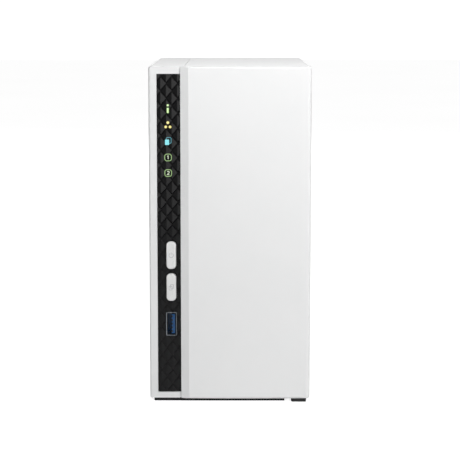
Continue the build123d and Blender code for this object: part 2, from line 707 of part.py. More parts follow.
def drive_platters(centre):
    """Two platters on a hub, turning on the drive's spindle."""
    hub = rod_x(12.5, (centre - 6.0, centre + 9.0), *SPINDLE)
    stack = hub + rod_x(PLATTER_RADIUS, (centre - 2.5, centre - 2.5 + PLATTER_THICKNESS), *SPINDLE)
    stack += rod_x(PLATTER_RADIUS, (centre + 3.5, centre + 3.5 + PLATTER_THICKNESS), *SPINDLE)
    return stack - rod_x(3.05, (centre - 7, centre + 10), *SPINDLE)


def parked_angle():
    """Angle of the arms from the Y axis when the heads rest just off the platters' rim."""
    dy = SPINDLE[0] - PIVOT[0]
    dz = SPINDLE[1] - PIVOT[1]
    span = math.hypot(dy, dz)
    rim = PLATTER_RADIUS + PARKED_GAP
    swing = math.acos((span**2 + ARM_REACH**2 - rim**2) / (2 * span * ARM_REACH))
    return math.degrees(math.atan2(dz, dy) - swing)


def drive_heads(centre):
    """Head arms on their pivot sleeve, with the flat coil behind."""
    x = (centre - 6.0, centre + 8.0)
    tip = ARM_REACH
    arm = Polygon((0, -7.0), (tip - 4, -1.6), (tip, -1.2), (tip, 1.2), (0, 7.0), align=None)
    coil = Polygon((0, -6.0), (0, 6.0), (-15, 8.0), (-17, 0.0), (-15, -8.0), align=None)
    turned = Pos(*PIVOT) * Rot(0, 0, parked_angle())
    stack = rod_x(7.0, x, *PIVOT)
    for start in (-4.6, 0.6, 6.2):
        stack += prism_x(turned * arm, (centre + start, centre + start + 1.0))
    stack += prism_x(turned * coil, (centre + 0.2, centre + 2.0))
    return stack - rod_x(3.05, (x[0] - 1, x[1] + 1), *PIVOT)


def drive_board(centre):
    """Printed circuit board on the drive's left face."""
    low = centre - DRIVE_SIZE[0] / 2
    board = block((low, low + DRIVE_BOARD), (-62.0, 28.0), (28.5, 92.0))
    return board - block((low - 1, low + 2), (4.0, 29.0), (74.0, 93.0))


def drive_connector(centre):
    """Black connector block in the drive's lower end, with its two contact blades."""
    x = drive_socket_x(centre)
    body = block(around(x, 6.0), SOCKET_Y, (DRIVE_Z[0], DRIVE_Z[0] + 7.0))
    for y in blade_runs():
        body += block(around(x, 1.3), y, (15.2, DRIVE_Z[0]))
    return body


def cage_screw_y():
    """Y of the front and the rear row of screws that hold the cage to the base."""
    return (CAGE_Y[0] + 5.5, CAGE_Y[1] - 5.5)


def drive_cage():
    """Folded steel cage, open at the top, with windows, socket slots and four legs."""
    inside_x = (CAGE_X[0] + SHEET, CAGE_X[1] - SHEET)
    inside_y = (CAGE_Y[0] + SHEET, CAGE_Y[1] - SHEET)
    cage = block(CAGE_X, CAGE_Y, CAGE_Z) - block(inside_x, inside_y, (CAGE_Z[0] + SHEET, CAGE_Z[1] + 1))
    for x in CAGE_LEGS_X:
        for y, sheet in zip(cage_screw_y(), (CAGE_Y[0], CAGE_Y[1] - SHEET)):
            span = around(x, CAGE_LEG_WIDTH)
            cage += block(span, (sheet, sheet + SHEET), (INNER_FLOOR, CAGE_Z[0]))
            foot = sorted((sheet + SHEET / 2, y + math.copysign(3.5, y - sheet)))
            cage += block(span, foot, (INNER_FLOOR, INNER_FLOOR + SHEET))
    return cage - cage_openings()


def cage_openings():
    """Side windows, front windows, screw holes and the slots over the sockets."""
    cuts = []
    wide = (CAGE_X[0] - 1, CAGE_X[1] + 1)
    for z in ((30.0, 92.0), (102.0, 160.0)):
        for y in (-50.0, -29.0, -4.0, 17.0):
            cuts.append(soft_block(wide, around(y, 15.0), z, Axis.X, 5.0))
    front = (CAGE_Y[0] - 1, CAGE_Y[0] + SHEET + 0.5)
    rear = (CAGE_Y[1] - SHEET - 0.5, CAGE_Y[1] + 1)
    for centre in DRIVE_CENTRES:
        for z in ((58.0, 96.0), (104.0, 142.0)):
            cuts.append(soft_block(around(centre, 17.0), front, z, Axis.Y, 3.0))
        cuts += [rod_y(1.9, centre + DRIVE_TAP_X, front, z) for z in DRIVE_HOLES_Z]
        cuts.append(soft_block(around(centre, 17.0), rear, (34.0, 160.0), Axis.Y, 3.0))
        socket = drive_socket_x(centre)
        slot_y = (SOCKET_Y[0] - 1.0, SOCKET_Y[1] + 1.0)
        cuts.append(block(around(socket, 7.6), slot_y, (CAGE_Z[0] - 1, CAGE_Z[0] + 2)))
        cuts.append(block(around(centre + 5.0, 8.0), (-60.0, 26.0), (CAGE_Z[0] - 1, CAGE_Z[0] + 2)))
    for x in CAGE_LEGS_X:
        for y in cage_screw_y():
            cuts.append(rod_z(M3_HOLE, x, y, (INNER_FLOOR - 1, INNER_FLOOR + 2)))
    return cuts


def cage_screws():
    """Four screws through the cage's legs into the base."""
    screws = []
    for x in CAGE_LEGS_X:
        for y in cage_screw_y():
            seat = INNER_FLOOR + SHEET
            screw = rod_z(HEAD, x, y, (seat, seat + 1.8)) + rod_z(M3, x, y, (FLOOR + 0.8, seat))
            screws.append(screw - rod_z(1.2, x, y, (seat + 0.9, seat + 2)))
    return group(screws)


def drive_screws():
    """Four screws through the cage's front sheet, two into each drive."""
    seat = CAGE_Y[0]
    places = [(c + DRIVE_TAP_X, z) for c in DRIVE_CENTRES for z in DRIVE_HOLES_Z]
    return group([pan_screw_y(x, z, seat - 1.8, 1.8, 6.0, 1) for x, z in places])


# ---------------------------------------------------------------- fan
def fan_frame():
    """Square fan frame with its bore, corner holes, motor mount, struts and bearing tube."""
    x, z = FAN_CENTRE
    y = (FAN_FRONT, FAN_BACK)
    frame = soft_block(around(x, FAN_SIZE), y, around(z, FAN_SIZE), Axis.Y, 3.5)
    frame -= rod_y(FAN_BORE, x, (y[0] - 1, y[1] + 1), z)
    frame -= [rod_y(1.85, x + dx, (y[0] - 1, y[1] + 1), z + dz) for dx, dz in fan_corners()]
    mount = rod_y(14.0, x, (FAN_BACK - 2.4, FAN_BACK), z)
    spoke = block((0.0, FAN_BORE + 0.6), (FAN_BACK - 2.4, FAN_BACK), (-1.3, 1.3))
    for k in range(4):
        mount += Pos(x, 0, z) * Rot(0, 45 + 90 * k, 0) * spoke
    mount += rod_y(3.9, x, (FAN_FRONT + 6.0, FAN_BACK - 2.4), z)
    return frame + mount - rod_y(1.54, x, (FAN_FRONT + 5.0, FAN_BACK - 1.2), z)


def fan_stator():
    """Motor windings round the bearing tube: a core with four coils."""
    x, z = FAN_CENTRE
    y = (FAN_BACK - 13.0, FAN_BACK - 4.0)
    core = rod_y(5.6, x, y, z)
    for k in range(4):
        core += Pos(x, 0, z) * Rot(0, 90 * k, 0) * block((0.0, 9.6), (y[0] + 1, y[1] - 1), (-2.6, 2.6))
    return core - rod_y(3.95, x, (y[0] - 1, y[1] + 1), z)


def fan_rotor():
    """Cup-shaped hub with seven pitched blades."""
    x, z = FAN_CENTRE
    y = (FAN_FRONT + 1.4, FAN_BACK - 3.4)
    hub = rod_y(FAN_HUB, x, y, z) - rod_y(FAN_HUB - 1.6, x, (y[0] + 1.6, y[1] + 1), z)
    blades = []
    middle = (y[0] + y[1]) / 2
    for k in range(BLADES):
        slab = Box(FAN_TIP - FAN_HUB + 2.0, 22.0, 1.3)
        blade = Pos((FAN_HUB + FAN_TIP) / 2, 0, 0) * Rot(BLADE_PITCH, 0, 0) * slab
        blades.append(Pos(x, middle, z) * Rot(0, 360 / BLADES * k, 0) * blade)
    ring = rod_y(FAN_TIP, x, (y[0] + 0.6, y[1] - 0.6), z) - rod_y(FAN_HUB - 0.2, x, (y[0], y[1]), z)
    rotor = hub
    for blade in blades:
        rotor += blade & ring
    return rotor - rod_y(1.5, x, (y[0] + 0.8, y[1]), z)


def fan_magnet():
    """Ring magnet inside the fan's hub."""
    x, z = FAN_CENTRE
    y = (FAN_BACK - 14.0, FAN_BACK - 4.0)
    return rod_y(FAN_HUB - 1.6, x, y, z) - rod_y(FAN_HUB - 3.2, x, (y[0] - 1, y[1] + 1), z)


def fan_shaft():
    """Steel shaft pressed into the hub, running in the bearing tube."""
    x, z = FAN_CENTRE
    return rod_y(1.5, x, (FAN_FRONT + 2.2, FAN_BACK - 2.0), z)


def fan_screws():
    """Four countersunk screws through the rear panel into the fan frame."""
    screws = []
    for dx, dz in fan_corners():
        x, z = FAN_CENTRE[0] + dx, FAN_CENTRE[1] + dz
        head = Pos(x, BACK - 0.95, z) * Rot(-90, 0, 0) * Cone(1.7, 3.2, 1.6)
        screw = head + rod_y(1.7, x, (BACK - 9.5, BACK - 1.2), z)
        drive = (BACK - 0.9, BACK + 1)
        cross = block(around(x, 3.0), drive, around(z, 0.7))
        cross += block(around(x, 0.7), drive, around(z, 3.0))
        screws.append(screw - cross)
    return group(screws)


def fan_plug():
    """Plug and header of the fan's lead, flat on the board."""
    return on_board(around(FAN_PLUG[0], 9.0), (FAN_PLUG[1] - 7.0, FAN_PLUG[1]), FAN_PLUG_HEIGHT)


def fan_lead():
    """The fan's three wires as one round bundle, from the frame's left side to the top of the plug."""
    side = FAN_CENTRE[0] - FAN_SIZE / 2
    plug_x = BOARD_FACE + FAN_PLUG_HEIGHT / 2
    route = [
        (side, 56.0, 106.0),
        (side - 6.5, 56.0, 105.0),
        (side - 11.3, 54.0, 100.0),
        (plug_x, 50.0, 92.0),
        (plug_x, 46.0, 82.0),
        (plug_x, FAN_PLUG[0], FAN_PLUG[1]),
    ]
    radii = corner_radii(route)
    path = FilletPolyline(*route, radius=radii)
    section = Plane(origin=route[0], z_dir=Vector(*route[1]) - Vector(*route[0])) * Circle(LEAD_RADIUS)
    lead = sweep(section, path=path)
    share = lead.volume / (math.pi * LEAD_RADIUS**2 * path.length)
    print("fan lead: length", round(path.length, 1), "radii", [round(r, 1) for r in radii])
    print("fan lead: volume over section times length", round(share, 3))
    return lead


def corner_radii(route):
    """The radius of each corner of a route: 0.45 of the shorter run, over the tangent of half the turn."""
    points = [Vector(*p) for p in route]
    radii = []
    for before, here, after in zip(points, points[1:], points[2:]):
        turn = math.radians((here - before).get_angle(after - here))
        shorter = min((here - before).length, (after - here).length)
        radii.append(0.45 * shorter / math.tan(turn / 2))
    return radii


# ---------------------------------------------------------------- the assembly
def assembly():
    """Every node of the unit, by name."""
    nodes = {
        "main_housing": main_housing(),
        "side_cover": side_cover(),
        "rear_panel": rear_panel(),
        "front_trim": front_trim(),
        "light_pipe": light_pipe(),
        "housing_feet": housing_feet(),
        "cover_feet": cover_feet(),
        "panel_screws": screws_on_rear(PANEL_SCREWS),
        "cover_screws": screws_on_rear(COVER_SCREWS),
        "lock_plate": lock_plate(),
        "reset_button": reset_button(),
        "reset_switch": reset_switch(),
        "front_usb_shell": usb_shell(FRONT_USB_Z, COLUMN_FRONT, 1),
        "front_usb_insert": usb_insert(FRONT_USB_Z, COLUMN_FRONT, 1),
        "rear_usb_shells": group([usb_shell(z, PORT_FACE, -1) for z in REAR_USB_Z]),
        "rear_usb_inserts": group([usb_insert(z, PORT_FACE, -1) for z in REAR_USB_Z]),
        "lan_port": lan_port(),
        "power_jack": power_jack(),
        "power_jack_pin": power_jack_pin(),
        "mainboard": mainboard(),
        "mainboard_screws": mainboard_screws(),
        "heatsink": heatsink(),
        "memory_chips": memory_chips(),
        "board_chips": board_chips(),
        "inductors": inductors(),
        "capacitors": capacitors(),
        "coin_cell": coin_cell(),
        "coin_cell_holder": coin_cell_holder(),
        "status_leds": status_leds(),
        "board_link": board_link(),
        "carrier_board": carrier_board(),
        "sata_sockets": sata_sockets(),
        "drive_cage": drive_cage(),
        "cage_screws": cage_screws(),
        "drive_screws": drive_screws(),
        "fan_frame": fan_frame(),
        "fan_stator": fan_stator(),
        "fan_rotor": fan_rotor(),
        "fan_magnet": fan_magnet(),
        "fan_shaft": fan_shaft(),
        "fan_screws": fan_screws(),
        "fan_plug": fan_plug(),
        "fan_lead": fan_lead(),
    }
    for name, z in BUTTON_Z.items():
        nodes[f"{name}_button"] = button_cap(z)
        nodes[f"{name}_switch"] = push_switch(z)
    for number, centre in enumerate(DRIVE_CENTRES, 1):
        nodes[f"drive_{number}_case"] = drive_case(centre)
        nodes[f"drive_{number}_lid"] = drive_lid(centre)
        nodes[f"drive_{number}_platters"] = drive_platters(centre)
        nodes[f"drive_{number}_heads"] = drive_heads(centre)
        nodes[f"drive_{number}_board"] = drive_board(centre)
        nodes[f"drive_{number}_connector"] = drive_connector(centre)
    return nodes


def main():
    """Writes one STEP file per node."""
    os.makedirs("parts", exist_ok=True)
    nodes = assembly()
    for name, shape in nodes.items():
        shape.label = name
        export_step(shape, f"parts/{name}.step")
    print(len(nodes), "nodes")


if __name__ == "__main__":
    main()
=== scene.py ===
"""Looks of an upright two-bay storage server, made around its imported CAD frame.

The case stands on rubber feet with +X to the right of its front, +Y to the back and +Z up. Every
size in this file is in millimetres unless its name says otherwise; meshes are written in metres.
New surfaces are worked out as whole numpy arrays and set on the frame's bodies.
"""

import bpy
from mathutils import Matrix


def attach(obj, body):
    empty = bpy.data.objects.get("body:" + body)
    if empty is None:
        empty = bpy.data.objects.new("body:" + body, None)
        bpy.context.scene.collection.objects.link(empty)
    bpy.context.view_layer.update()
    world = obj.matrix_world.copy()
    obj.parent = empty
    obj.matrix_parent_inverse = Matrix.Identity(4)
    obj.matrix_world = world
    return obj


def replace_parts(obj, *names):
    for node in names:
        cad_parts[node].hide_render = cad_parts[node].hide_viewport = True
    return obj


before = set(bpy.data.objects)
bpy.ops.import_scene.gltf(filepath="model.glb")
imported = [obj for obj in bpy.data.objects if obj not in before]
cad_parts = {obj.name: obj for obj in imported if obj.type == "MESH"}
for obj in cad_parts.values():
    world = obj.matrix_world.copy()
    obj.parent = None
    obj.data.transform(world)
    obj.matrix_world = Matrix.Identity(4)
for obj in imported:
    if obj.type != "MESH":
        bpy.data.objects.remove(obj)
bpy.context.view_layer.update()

import logging
import math
from collections.abc import Callable, Sequence
from dataclasses import dataclass
from enum import Enum

import bmesh
import bpy
import numpy as np
from mathutils import Matrix, Vector

LOG = logging.getLogger("storage_server")
MM = 0.001
Array = np.ndarray
Pair = tuple[float, float]
Triple = tuple[float, float, float]
Socket = bpy.types.NodeSocket


class Axis(Enum):
    """The axis that a flat outline is carried along."""

    X = 0
    Y = 1
    Z = 2


class Body(Enum):
    """Bodies of the frame that new pieces ride on."""

    CHASSIS = "chassis"
    POWER_KEY = "power_key"
    COPY_KEY = "copy_key"


# ---------------------------------------------------------------- finishes


def linear(hex_colour: str) -> tuple[float, float, float, float]:
    """Turn an sRGB hex colour into linear light.

    Args:
        hex_colour: colour as "#RRGGBB".

    Returns:
        Red, green, blue and an alpha of 1.
    """
    channels = np.array([int(hex_colour[i : i + 2], 16) for i in (1, 3, 5)]) / 255
    light = np.where(channels <= 0.04045, channels / 12.92, ((channels + 0.055) / 1.055) ** 2.4)
    return (*light.tolist(), 1.0)


def add_node(
    tree: bpy.types.NodeTree,
    kind: str,
    settings: dict[str, object] | None = None,
    inputs: dict[str | int, object] | None = None,
) -> bpy.types.Node:
    """Add a shader node with its settings, values and links.

    Args:
        tree: node tree of the material or the world.
        kind: node type, such as "ShaderNodeBump".
        settings: attributes of the node.
        inputs: a value or another node's output for each input, by name or number.

    Returns:
        The new node.
    """
    node = tree.nodes.new(kind)
    for name, value in (settings or {}).items():
        setattr(node, name, value)
    for key, value in (inputs or {}).items():
        if isinstance(value, Socket):
            tree.links.new(value, node.inputs[key])
        else:
            node.inputs[key].default_value = value
    return node


@dataclass(frozen=True)
class Finish:
    """A moulded, cast or plated surface: slow clouds in its colour and gloss, and a fine grain.

    Clouds of cloud_mm mix colour with shade and move the gloss between its two limits. Grain of
    grain_mm stands grain_depth_mm high. Stretch squeezes the pattern along each axis, so a small
    number draws it out into lines. A lamp shows its colour only by glow, over a black body.
    """

    name: str
    colour: str
    shade: str
    roughness: Pair = (0.4, 0.5)
    metallic: float = 0.0
    ior: float = 1.5
    specular: float = 0.5
    coat: float = 0.0
    transmission: float = 0.0
    glow: float = 0.0
    lamp: bool = False
    cloud_mm: float = 18.0
    grain_mm: float = 0.6
    grain_depth_mm: float = 0.004
    stretch: Triple = (1.0, 1.0, 1.0)

    def material(self) -> bpy.types.Material:
        """The finish as a material, made once."""
        return bpy.data.materials.get(self.name) or self.mixed()

    def mixed(self) -> bpy.types.Material:
        """Build the node tree: clouds to colour and gloss, grain to bump, into one shader.

        Returns:
            The new material.
        """
        material = bpy.data.materials.new(self.name)
        material.use_nodes = True
        tree = material.node_tree
        tree.nodes.clear()
        coordinates = add_node(tree, "ShaderNodeTexCoord").outputs["Object"]
        drawn = add_node(
            tree, "ShaderNodeMapping", inputs={"Vector": coordinates, "Scale": self.stretch}
        ).outputs["Vector"]
        clouds = self.clouds(tree, drawn)
        colour = self.coloured(tree, drawn, clouds)
        gloss = add_node(
            tree,
            "ShaderNodeMapRange",
            inputs={0: clouds, 3: self.roughness[0], 4: self.roughness[1]},
        ).outputs[0]
        inputs: dict[str | int, object] = {
            "Base Color": colour,
            "Roughness": gloss,
            "Metallic": self.metallic,
            "Specular IOR Level": self.specular,
            "Coat Weight": self.coat,
            "Coat Roughness": 0.12,
            "Transmission Weight": self.transmission,
            "Normal": self.grained(tree, drawn),
        }
        if self.metallic < 0.5:
            inputs["IOR"] = self.ior
        if self.glow > 0:
            inputs["Emission Color"] = colour
            inputs["Emission Strength"] = self.glow
        if self.lamp:
            inputs["Base Color"] = linear("#101010")
        shader = add_node(tree, "ShaderNodeBsdfPrincipled", inputs=inputs)
        add_node(tree, "ShaderNodeOutputMaterial", inputs={"Surface": shader.outputs["BSDF"]})
        material.diffuse_color = linear(self.colour)
        return material

    def clouds(self, tree: bpy.types.NodeTree, drawn: Socket) -> Socket:
        """Slow noise with features about cloud_mm across.

        Args:
            tree: the material's tree.
            drawn: stretched Object coordinates.

        Returns:
            A value from 0 to 1.
        """
        return add_node(
            tree,
            "ShaderNodeTexNoise",
            inputs={"Vector": drawn, "Scale": 1000 / self.cloud_mm, "Detail": 3.0},
        ).outputs[0]

    def coloured(self, tree: bpy.types.NodeTree, drawn: Socket, clouds: Socket) -> Socket:
        """Mix the two colours by the clouds.

        Args:
            tree: the material's tree.
            drawn: stretched Object coordinates.
            clouds: the slow noise.

        Returns:
            The base colour.
        """
        return add_node(
            tree,
            "ShaderNodeMix",
            {"data_type": "RGBA"},
            {0: clouds, 6: linear(self.colour), 7: linear(self.shade)},
        ).outputs[2]

    def grained(self, tree: bpy.types.NodeTree, drawn: Socket) -> Socket:
        """Fine grain as a bump of the finish's real depth.

        Args:
            tree: the material's tree.
            drawn: stretched Object coordinates.

        Returns:
            The shading normal.
        """
        grain = add_node(
            tree,
            "ShaderNodeTexNoise",
            inputs={"Vector": drawn, "Scale": 1000 / self.grain_mm, "Detail": 2.0},
        ).outputs[0]
        return add_node(
            tree,
            "ShaderNodeBump",
            inputs={"Height": grain, "Distance": self.grain_depth_mm * MM, "Strength": 1.0},
        ).outputs[0]


@dataclass(frozen=True)
class SpangledZinc(Finish):
    """Hot-dip zinc on steel sheet: flat crystals a few millimetres wide, each with its own grey."""

    spangle_mm: float = 5.0

    def clouds(self, tree: bpy.types.NodeTree, drawn: Socket) -> Socket:
        """One random value in each crystal of spangle_mm.

        Args:
            tree: the material's tree.
            drawn: stretched Object coordinates.

        Returns:
            A value from 0 to 1.
        """
        crystals = add_node(
            tree,
            "ShaderNodeTexVoronoi",
            inputs={"Vector": drawn, "Scale": 1000 / self.spangle_mm},
        ).outputs["Color"]
        return add_node(tree, "ShaderNodeSeparateColor", inputs={0: crystals}).outputs[0]


@dataclass(frozen=True)
class SolderMask(Finish):
    """Lacquer over etched copper: the copper pours show as slightly lighter fields with sharp edges."""

    pour_mm: float = 9.0

    def coloured(self, tree: bpy.types.NodeTree, drawn: Socket, clouds: Socket) -> Socket:
        """Mix the lacquer over bare laminate and over copper by a stepped cell pattern.

        Args:
            tree: the material's tree.
            drawn: stretched Object coordinates.
            clouds: the slow noise, left for the gloss.

        Returns:
            The base colour.
        """
        cells = add_node(
            tree,
            "ShaderNodeTexVoronoi",
            {"distance": "CHEBYCHEV"},
            {"Vector": drawn, "Scale": 1000 / self.pour_mm},
        ).outputs["Distance"]
        step = add_node(
            tree, "ShaderNodeMapRange", inputs={0: cells, 1: 0.30, 2: 0.33, 3: 0.15, 4: 0.85}
        ).outputs[0]
        return add_node(
            tree,
            "ShaderNodeMix",
            {"data_type": "RGBA"},
            {0: step, 6: linear(self.colour), 7: linear(self.shade)},
        ).outputs[2]


@dataclass(frozen=True)
class TurnedMetal(Finish):
    """Metal faced on a lathe or polished as a disk: fine rings round one centre across X."""

    centre: Pair = (0.0, 0.0)
    ring_mm: float = 0.8

    def grained(self, tree: bpy.types.NodeTree, drawn: Socket) -> Socket:
        """Ring grooves ring_mm apart round the centre, as a bump.

        Args:
            tree: the material's tree.
            drawn: stretched Object coordinates.

        Returns:
            The shading normal.
        """
        place = add_node(
            tree,
            "ShaderNodeMapping",
            inputs={"Vector": drawn, "Location": (0.0, -self.centre[0] * MM, -self.centre[1] * MM)},
        ).outputs[0]
        rings = add_node(
            tree,
            "ShaderNodeTexWave",
            {"wave_type": "RINGS", "rings_direction": "X"},
            {"Vector": place, "Scale": 50 / self.ring_mm, "Distortion": 0.0},
        ).outputs["Fac"]
        return add_node(
            tree,
            "ShaderNodeBump",
            inputs={"Height": rings, "Distance": self.grain_depth_mm * MM, "Strength": 1.0},
        ).outputs[0]


# Injection-moulded ABS with a spark-eroded tool face: satin white, gloss a little uneven. The real
# grain is near 0.05 mm; it is drawn at 0.7 mm so that it still shows.
WHITE_ABS = Finish(
    "Satin white ABS", "#EDEDED", "#E9EAEA", (0.36, 0.43), grain_mm=0.7, grain_depth_mm=0.003
)
# The same ABS coloured a touch greyer for the housing and the rear panel: painted shade.
HOUSING_ABS_PAINTED_SHADE = Finish(
    "Satin white ABS with painted shade", "#E8E8E8", "#E4E5E5", (0.36, 0.43), grain_mm=0.7, grain_depth_mm=0.003
)
# The same ABS from a polished tool: smoother than the case round it, with a soft highlight.
BUTTON_ABS = Finish(
    "Polished white ABS", "#E3E3E2", "#DEDEDE", (0.24, 0.30), cloud_mm=6.0, grain_depth_mm=0.001
)
# Pad-print ink: thin, flat and grey, and a little uneven at its edges.
PRINT_GREY = Finish("Grey pad print", "#B9BABC", "#B1B2B4", (0.45, 0.55), cloud_mm=1.5, grain_mm=0.2)
# Smoked polycarbonate, moulded glossy: black, with a soft sheen on each facet.
SMOKED_PC = Finish(
    "Smoked polycarbonate", "#0C0C0D", "#101011", (0.26, 0.33), ior=1.58, specular=0.22,
    grain_mm=1.5, grain_depth_mm=0.002,
)
# Compression-moulded rubber: matt charcoal that hardly shines.
RUBBER = Finish("Moulded rubber", "#2A2A2B", "#202021", (0.75, 0.9), grain_mm=0.5, grain_depth_mm=0.02)
# Cast acrylic light guide: clear, with bright edges.
ACRYLIC = Finish(
    "Clear acrylic", "#E6ECEC", "#DDE6E6", (0.08, 0.16), ior=1.49, transmission=0.8, grain_depth_mm=0.001
)
# Diffusing epoxy of a lamp body: milky and slightly yellow.
LAMP_EPOXY = Finish("Diffusing epoxy", "#EFE9C8", "#E6DDB4", (0.3, 0.45), ior=1.55, cloud_mm=1.0)
# Hot-dip galvanised sheet, cut and folded: flat grey crystals a few millimetres wide.
CASE_ZINC = SpangledZinc(
    "Galvanised sheet", "#B4B8BB", "#9DA2A6", (0.30, 0.48), 0.95, grain_mm=1.2, spangle_mm=4.5
)
# Zinc-plated steel screws: bright and slightly blue.
SCREW_ZINC = Finish(
    "Bright zinc plating", "#C5C8CA", "#AEB2B6", (0.22, 0.34), 1.0, cloud_mm=2.5, grain_mm=0.3
)
# Blackened steel screws: dark, with a dull metal sheen. On the front socket's contacts it is painted shade.
BLACK_OXIDE = Finish(
    "Black oxide steel", "#26272A", "#191A1C", (0.35, 0.5), 0.85, cloud_mm=2.5, grain_mm=0.3
)
# Drawn steel sheet with bright nickel: clear highlights, drawn out along the fold.
NICKEL = Finish(
    "Bright nickel", "#D0D1D2", "#BFC1C3", (0.14, 0.24), 1.0, cloud_mm=3.0, grain_mm=0.8,
    stretch=(1.0, 0.2, 1.0),
)
# The same nickel sheet in a darker grey for the front socket's shell: painted shade, wide highlights.
NICKEL_PAINTED_SHADE = Finish("Nickel with painted shade", "#969BA0", "#868C92", (0.26, 0.36), 1.0, cloud_mm=3.0, grain_mm=0.8)
# Moulded nylon in the blue of a fast USB socket: deep and satin.
BLUE_NYLON = Finish(
    "Moulded blue nylon", "#08487C", "#073F6C", (0.32, 0.42), ior=1.53, cloud_mm=4.0, grain_mm=0.3
)
# Moulded glass-filled nylon: black and slightly rough.
BLACK_NYLON = Finish(
    "Moulded black nylon", "#1B1B1C", "#232324", (0.42, 0.55), ior=1.53, grain_mm=0.4,
    grain_depth_mm=0.008,
)
# Moulded natural nylon of a small plug: warm white and waxy.
CREAM_NYLON = Finish(
    "Moulded natural nylon", "#E2DECF", "#D8D3C1", (0.4, 0.52), ior=1.53, cloud_mm=5.0, grain_mm=0.4
)
# Green lacquer over etched copper on glass laminate: the copper fields show lighter.
GREEN_MASK = SolderMask(
    "Green solder mask", "#0B4A28", "#12633A", (0.22, 0.34), coat=0.25, grain_mm=1.0, pour_mm=9.0
)
# The same in blue, as on a drive: darker, with smaller copper fields.
BLUE_MASK = SolderMask(
    "Blue solder mask", "#0D2F55", "#14406F", (0.22, 0.34), coat=0.25, grain_mm=1.0, pour_mm=6.0
)
# Copper track under the green lacquer: the same hue, lighter.
TRACK_GREEN = Finish("Track under green mask", "#1C7A4A", "#18704A", (0.2, 0.3), coat=0.25, cloud_mm=3.0)
# Copper track under the blue lacquer.
TRACK_BLUE = Finish("Track under blue mask", "#1E5288", "#1A4A80", (0.2, 0.3), coat=0.25, cloud_mm=3.0)
# Transfer-moulded epoxy of a chip: near black, dry and fine-grained.
CHIP_EPOXY = Finish(
    "Moulded chip epoxy", "#1F2022", "#26272A", (0.5, 0.65), cloud_mm=3.0, grain_mm=0.25,
    grain_depth_mm=0.01,
)
# Fired ceramic of a small capacitor: flat brown.
CERAMIC_TAN = Finish("Fired ceramic", "#A88B66", "#8F7552", (0.4, 0.55), cloud_mm=0.8, grain_mm=0.2)
# Extruded aluminium with clear anodising: pale, with lines along the fins.
SINK_ALUMINIUM = Finish(
    "Clear anodised aluminium", "#B9BCC1", "#A9ACB2", (0.32, 0.45), 0.9, cloud_mm=8.0, grain_mm=0.5,
    stretch=(1.0, 1.0, 0.08),
)
# Pressed and fired ferrite of a coil: dark grey and chalky.
FERRITE = Finish(
    "Pressed ferrite", "#4A4B4E", "#3D3E41", (0.5, 0.65), 0.2, cloud_mm=2.0, grain_mm=0.3,
    grain_depth_mm=0.02,
)
# Impact-extruded aluminium can: satin silver.
CAN_ALUMINIUM = Finish("Satin aluminium can", "#C9CCD0", "#B8BCC2", (0.2, 0.32), 0.95, cloud_mm=3.0)
# Shrunk plastic sleeve of a capacitor: dark blue-grey and smooth.
SLEEVE_BLUE = Finish("Printed can sleeve", "#20242C", "#1A1D25", (0.3, 0.4), cloud_mm=2.0)
# Stamped stainless steel of a clock cell: bright, with turning lines.
CELL_STEEL = Finish(
    "Bright stainless steel", "#D2D2CF", "#C0C0BC", (0.16, 0.28), 1.0, cloud_mm=3.0,
    stretch=(1.0, 1.0, 0.1),
)
# Gold flash over bronze on a contact: thin, warm and bright.
GOLD = Finish("Gold flash on bronze", "#E0BC66", "#CFA850", (0.18, 0.3), 1.0, cloud_mm=1.0, grain_mm=0.2)
# Bright tin on leads and terminals: white metal with a soft gloss.
TIN = Finish("Bright tin", "#C6C8CA", "#AFB2B5", (0.25, 0.4), 1.0, cloud_mm=0.8, grain_mm=0.2)
# Enamelled copper wire of the fan windings: orange-brown, in close turns.
COPPER = Finish(
    "Enamelled copper wire", "#B46A38", "#9C5527", (0.25, 0.4), 0.9, cloud_mm=1.0, grain_mm=0.4,
    grain_depth_mm=0.05, stretch=(1.0, 1.0, 0.1),
)
# Sintered ferrite ring: dark grey with a dull face.
MAGNET = Finish(
    "Sintered ferrite magnet", "#303133", "#252628", (0.55, 0.7), 0.3, cloud_mm=3.0, grain_mm=0.3
)
# Centreless-ground steel shaft: clean and bright.
GROUND_STEEL = Finish("Ground steel", "#C2C4C6", "#AEB0B3", (0.2, 0.3), 1.0, cloud_mm=3.0)
# Die-cast aluminium of a drive case: mid grey, dry and grainy.
CAST_CASE = Finish(
    "Die-cast aluminium", "#85898D", "#74787C", (0.42, 0.58), 0.85, cloud_mm=6.0, grain_mm=0.5,
    grain_depth_mm=0.015,
)
# Brushed stainless sheet of a drive lid: fine lines up the lid.
LID_STEEL = Finish(
    "Brushed stainless lid", "#BFC2C5", "#AFB3B7", (0.28, 0.42), 1.0, cloud_mm=1.6, grain_mm=0.4,
    grain_depth_mm=0.002, stretch=(1.0, 1.0, 0.02),
)
# Sputtered and polished disk: a mirror with the faintest rings.
DISK_MIRROR = TurnedMetal(
    "Sputtered disk", "#D2D3D6", "#CACCD0", (0.04, 0.08), 1.0, grain_depth_mm=0.0004,
    centre=(-16.7, 115.0), ring_mm=1.4,
)
# Machined aluminium of the head arms: bright, with tool lines along them.
ARM_ALUMINIUM = Finish(
    "Machined aluminium", "#BEC0C3", "#A9ACB0", (0.25, 0.38), 0.95, cloud_mm=2.0, stretch=(1.0, 0.2, 1.0)
)
# Coated label paper: off-white and flat.
LABEL_PAPER = Finish(
    "Coated label paper", "#ECEBE6", "#E3E2DC", (0.5, 0.6), cloud_mm=7.0, grain_mm=0.3,
    grain_depth_mm=0.004,
)
# Flat ink on the label: slate blue.
LABEL_BAND = Finish("Printed label band", "#5E7C95", "#56738C", (0.45, 0.55), cloud_mm=5.0, grain_mm=0.3)
# Screen-printed legend ink on a board: off-white.
SILK_WHITE = Finish("White board print", "#DADCD4", "#CFD1C9", (0.5, 0.6), cloud_mm=1.0, grain_mm=0.2)
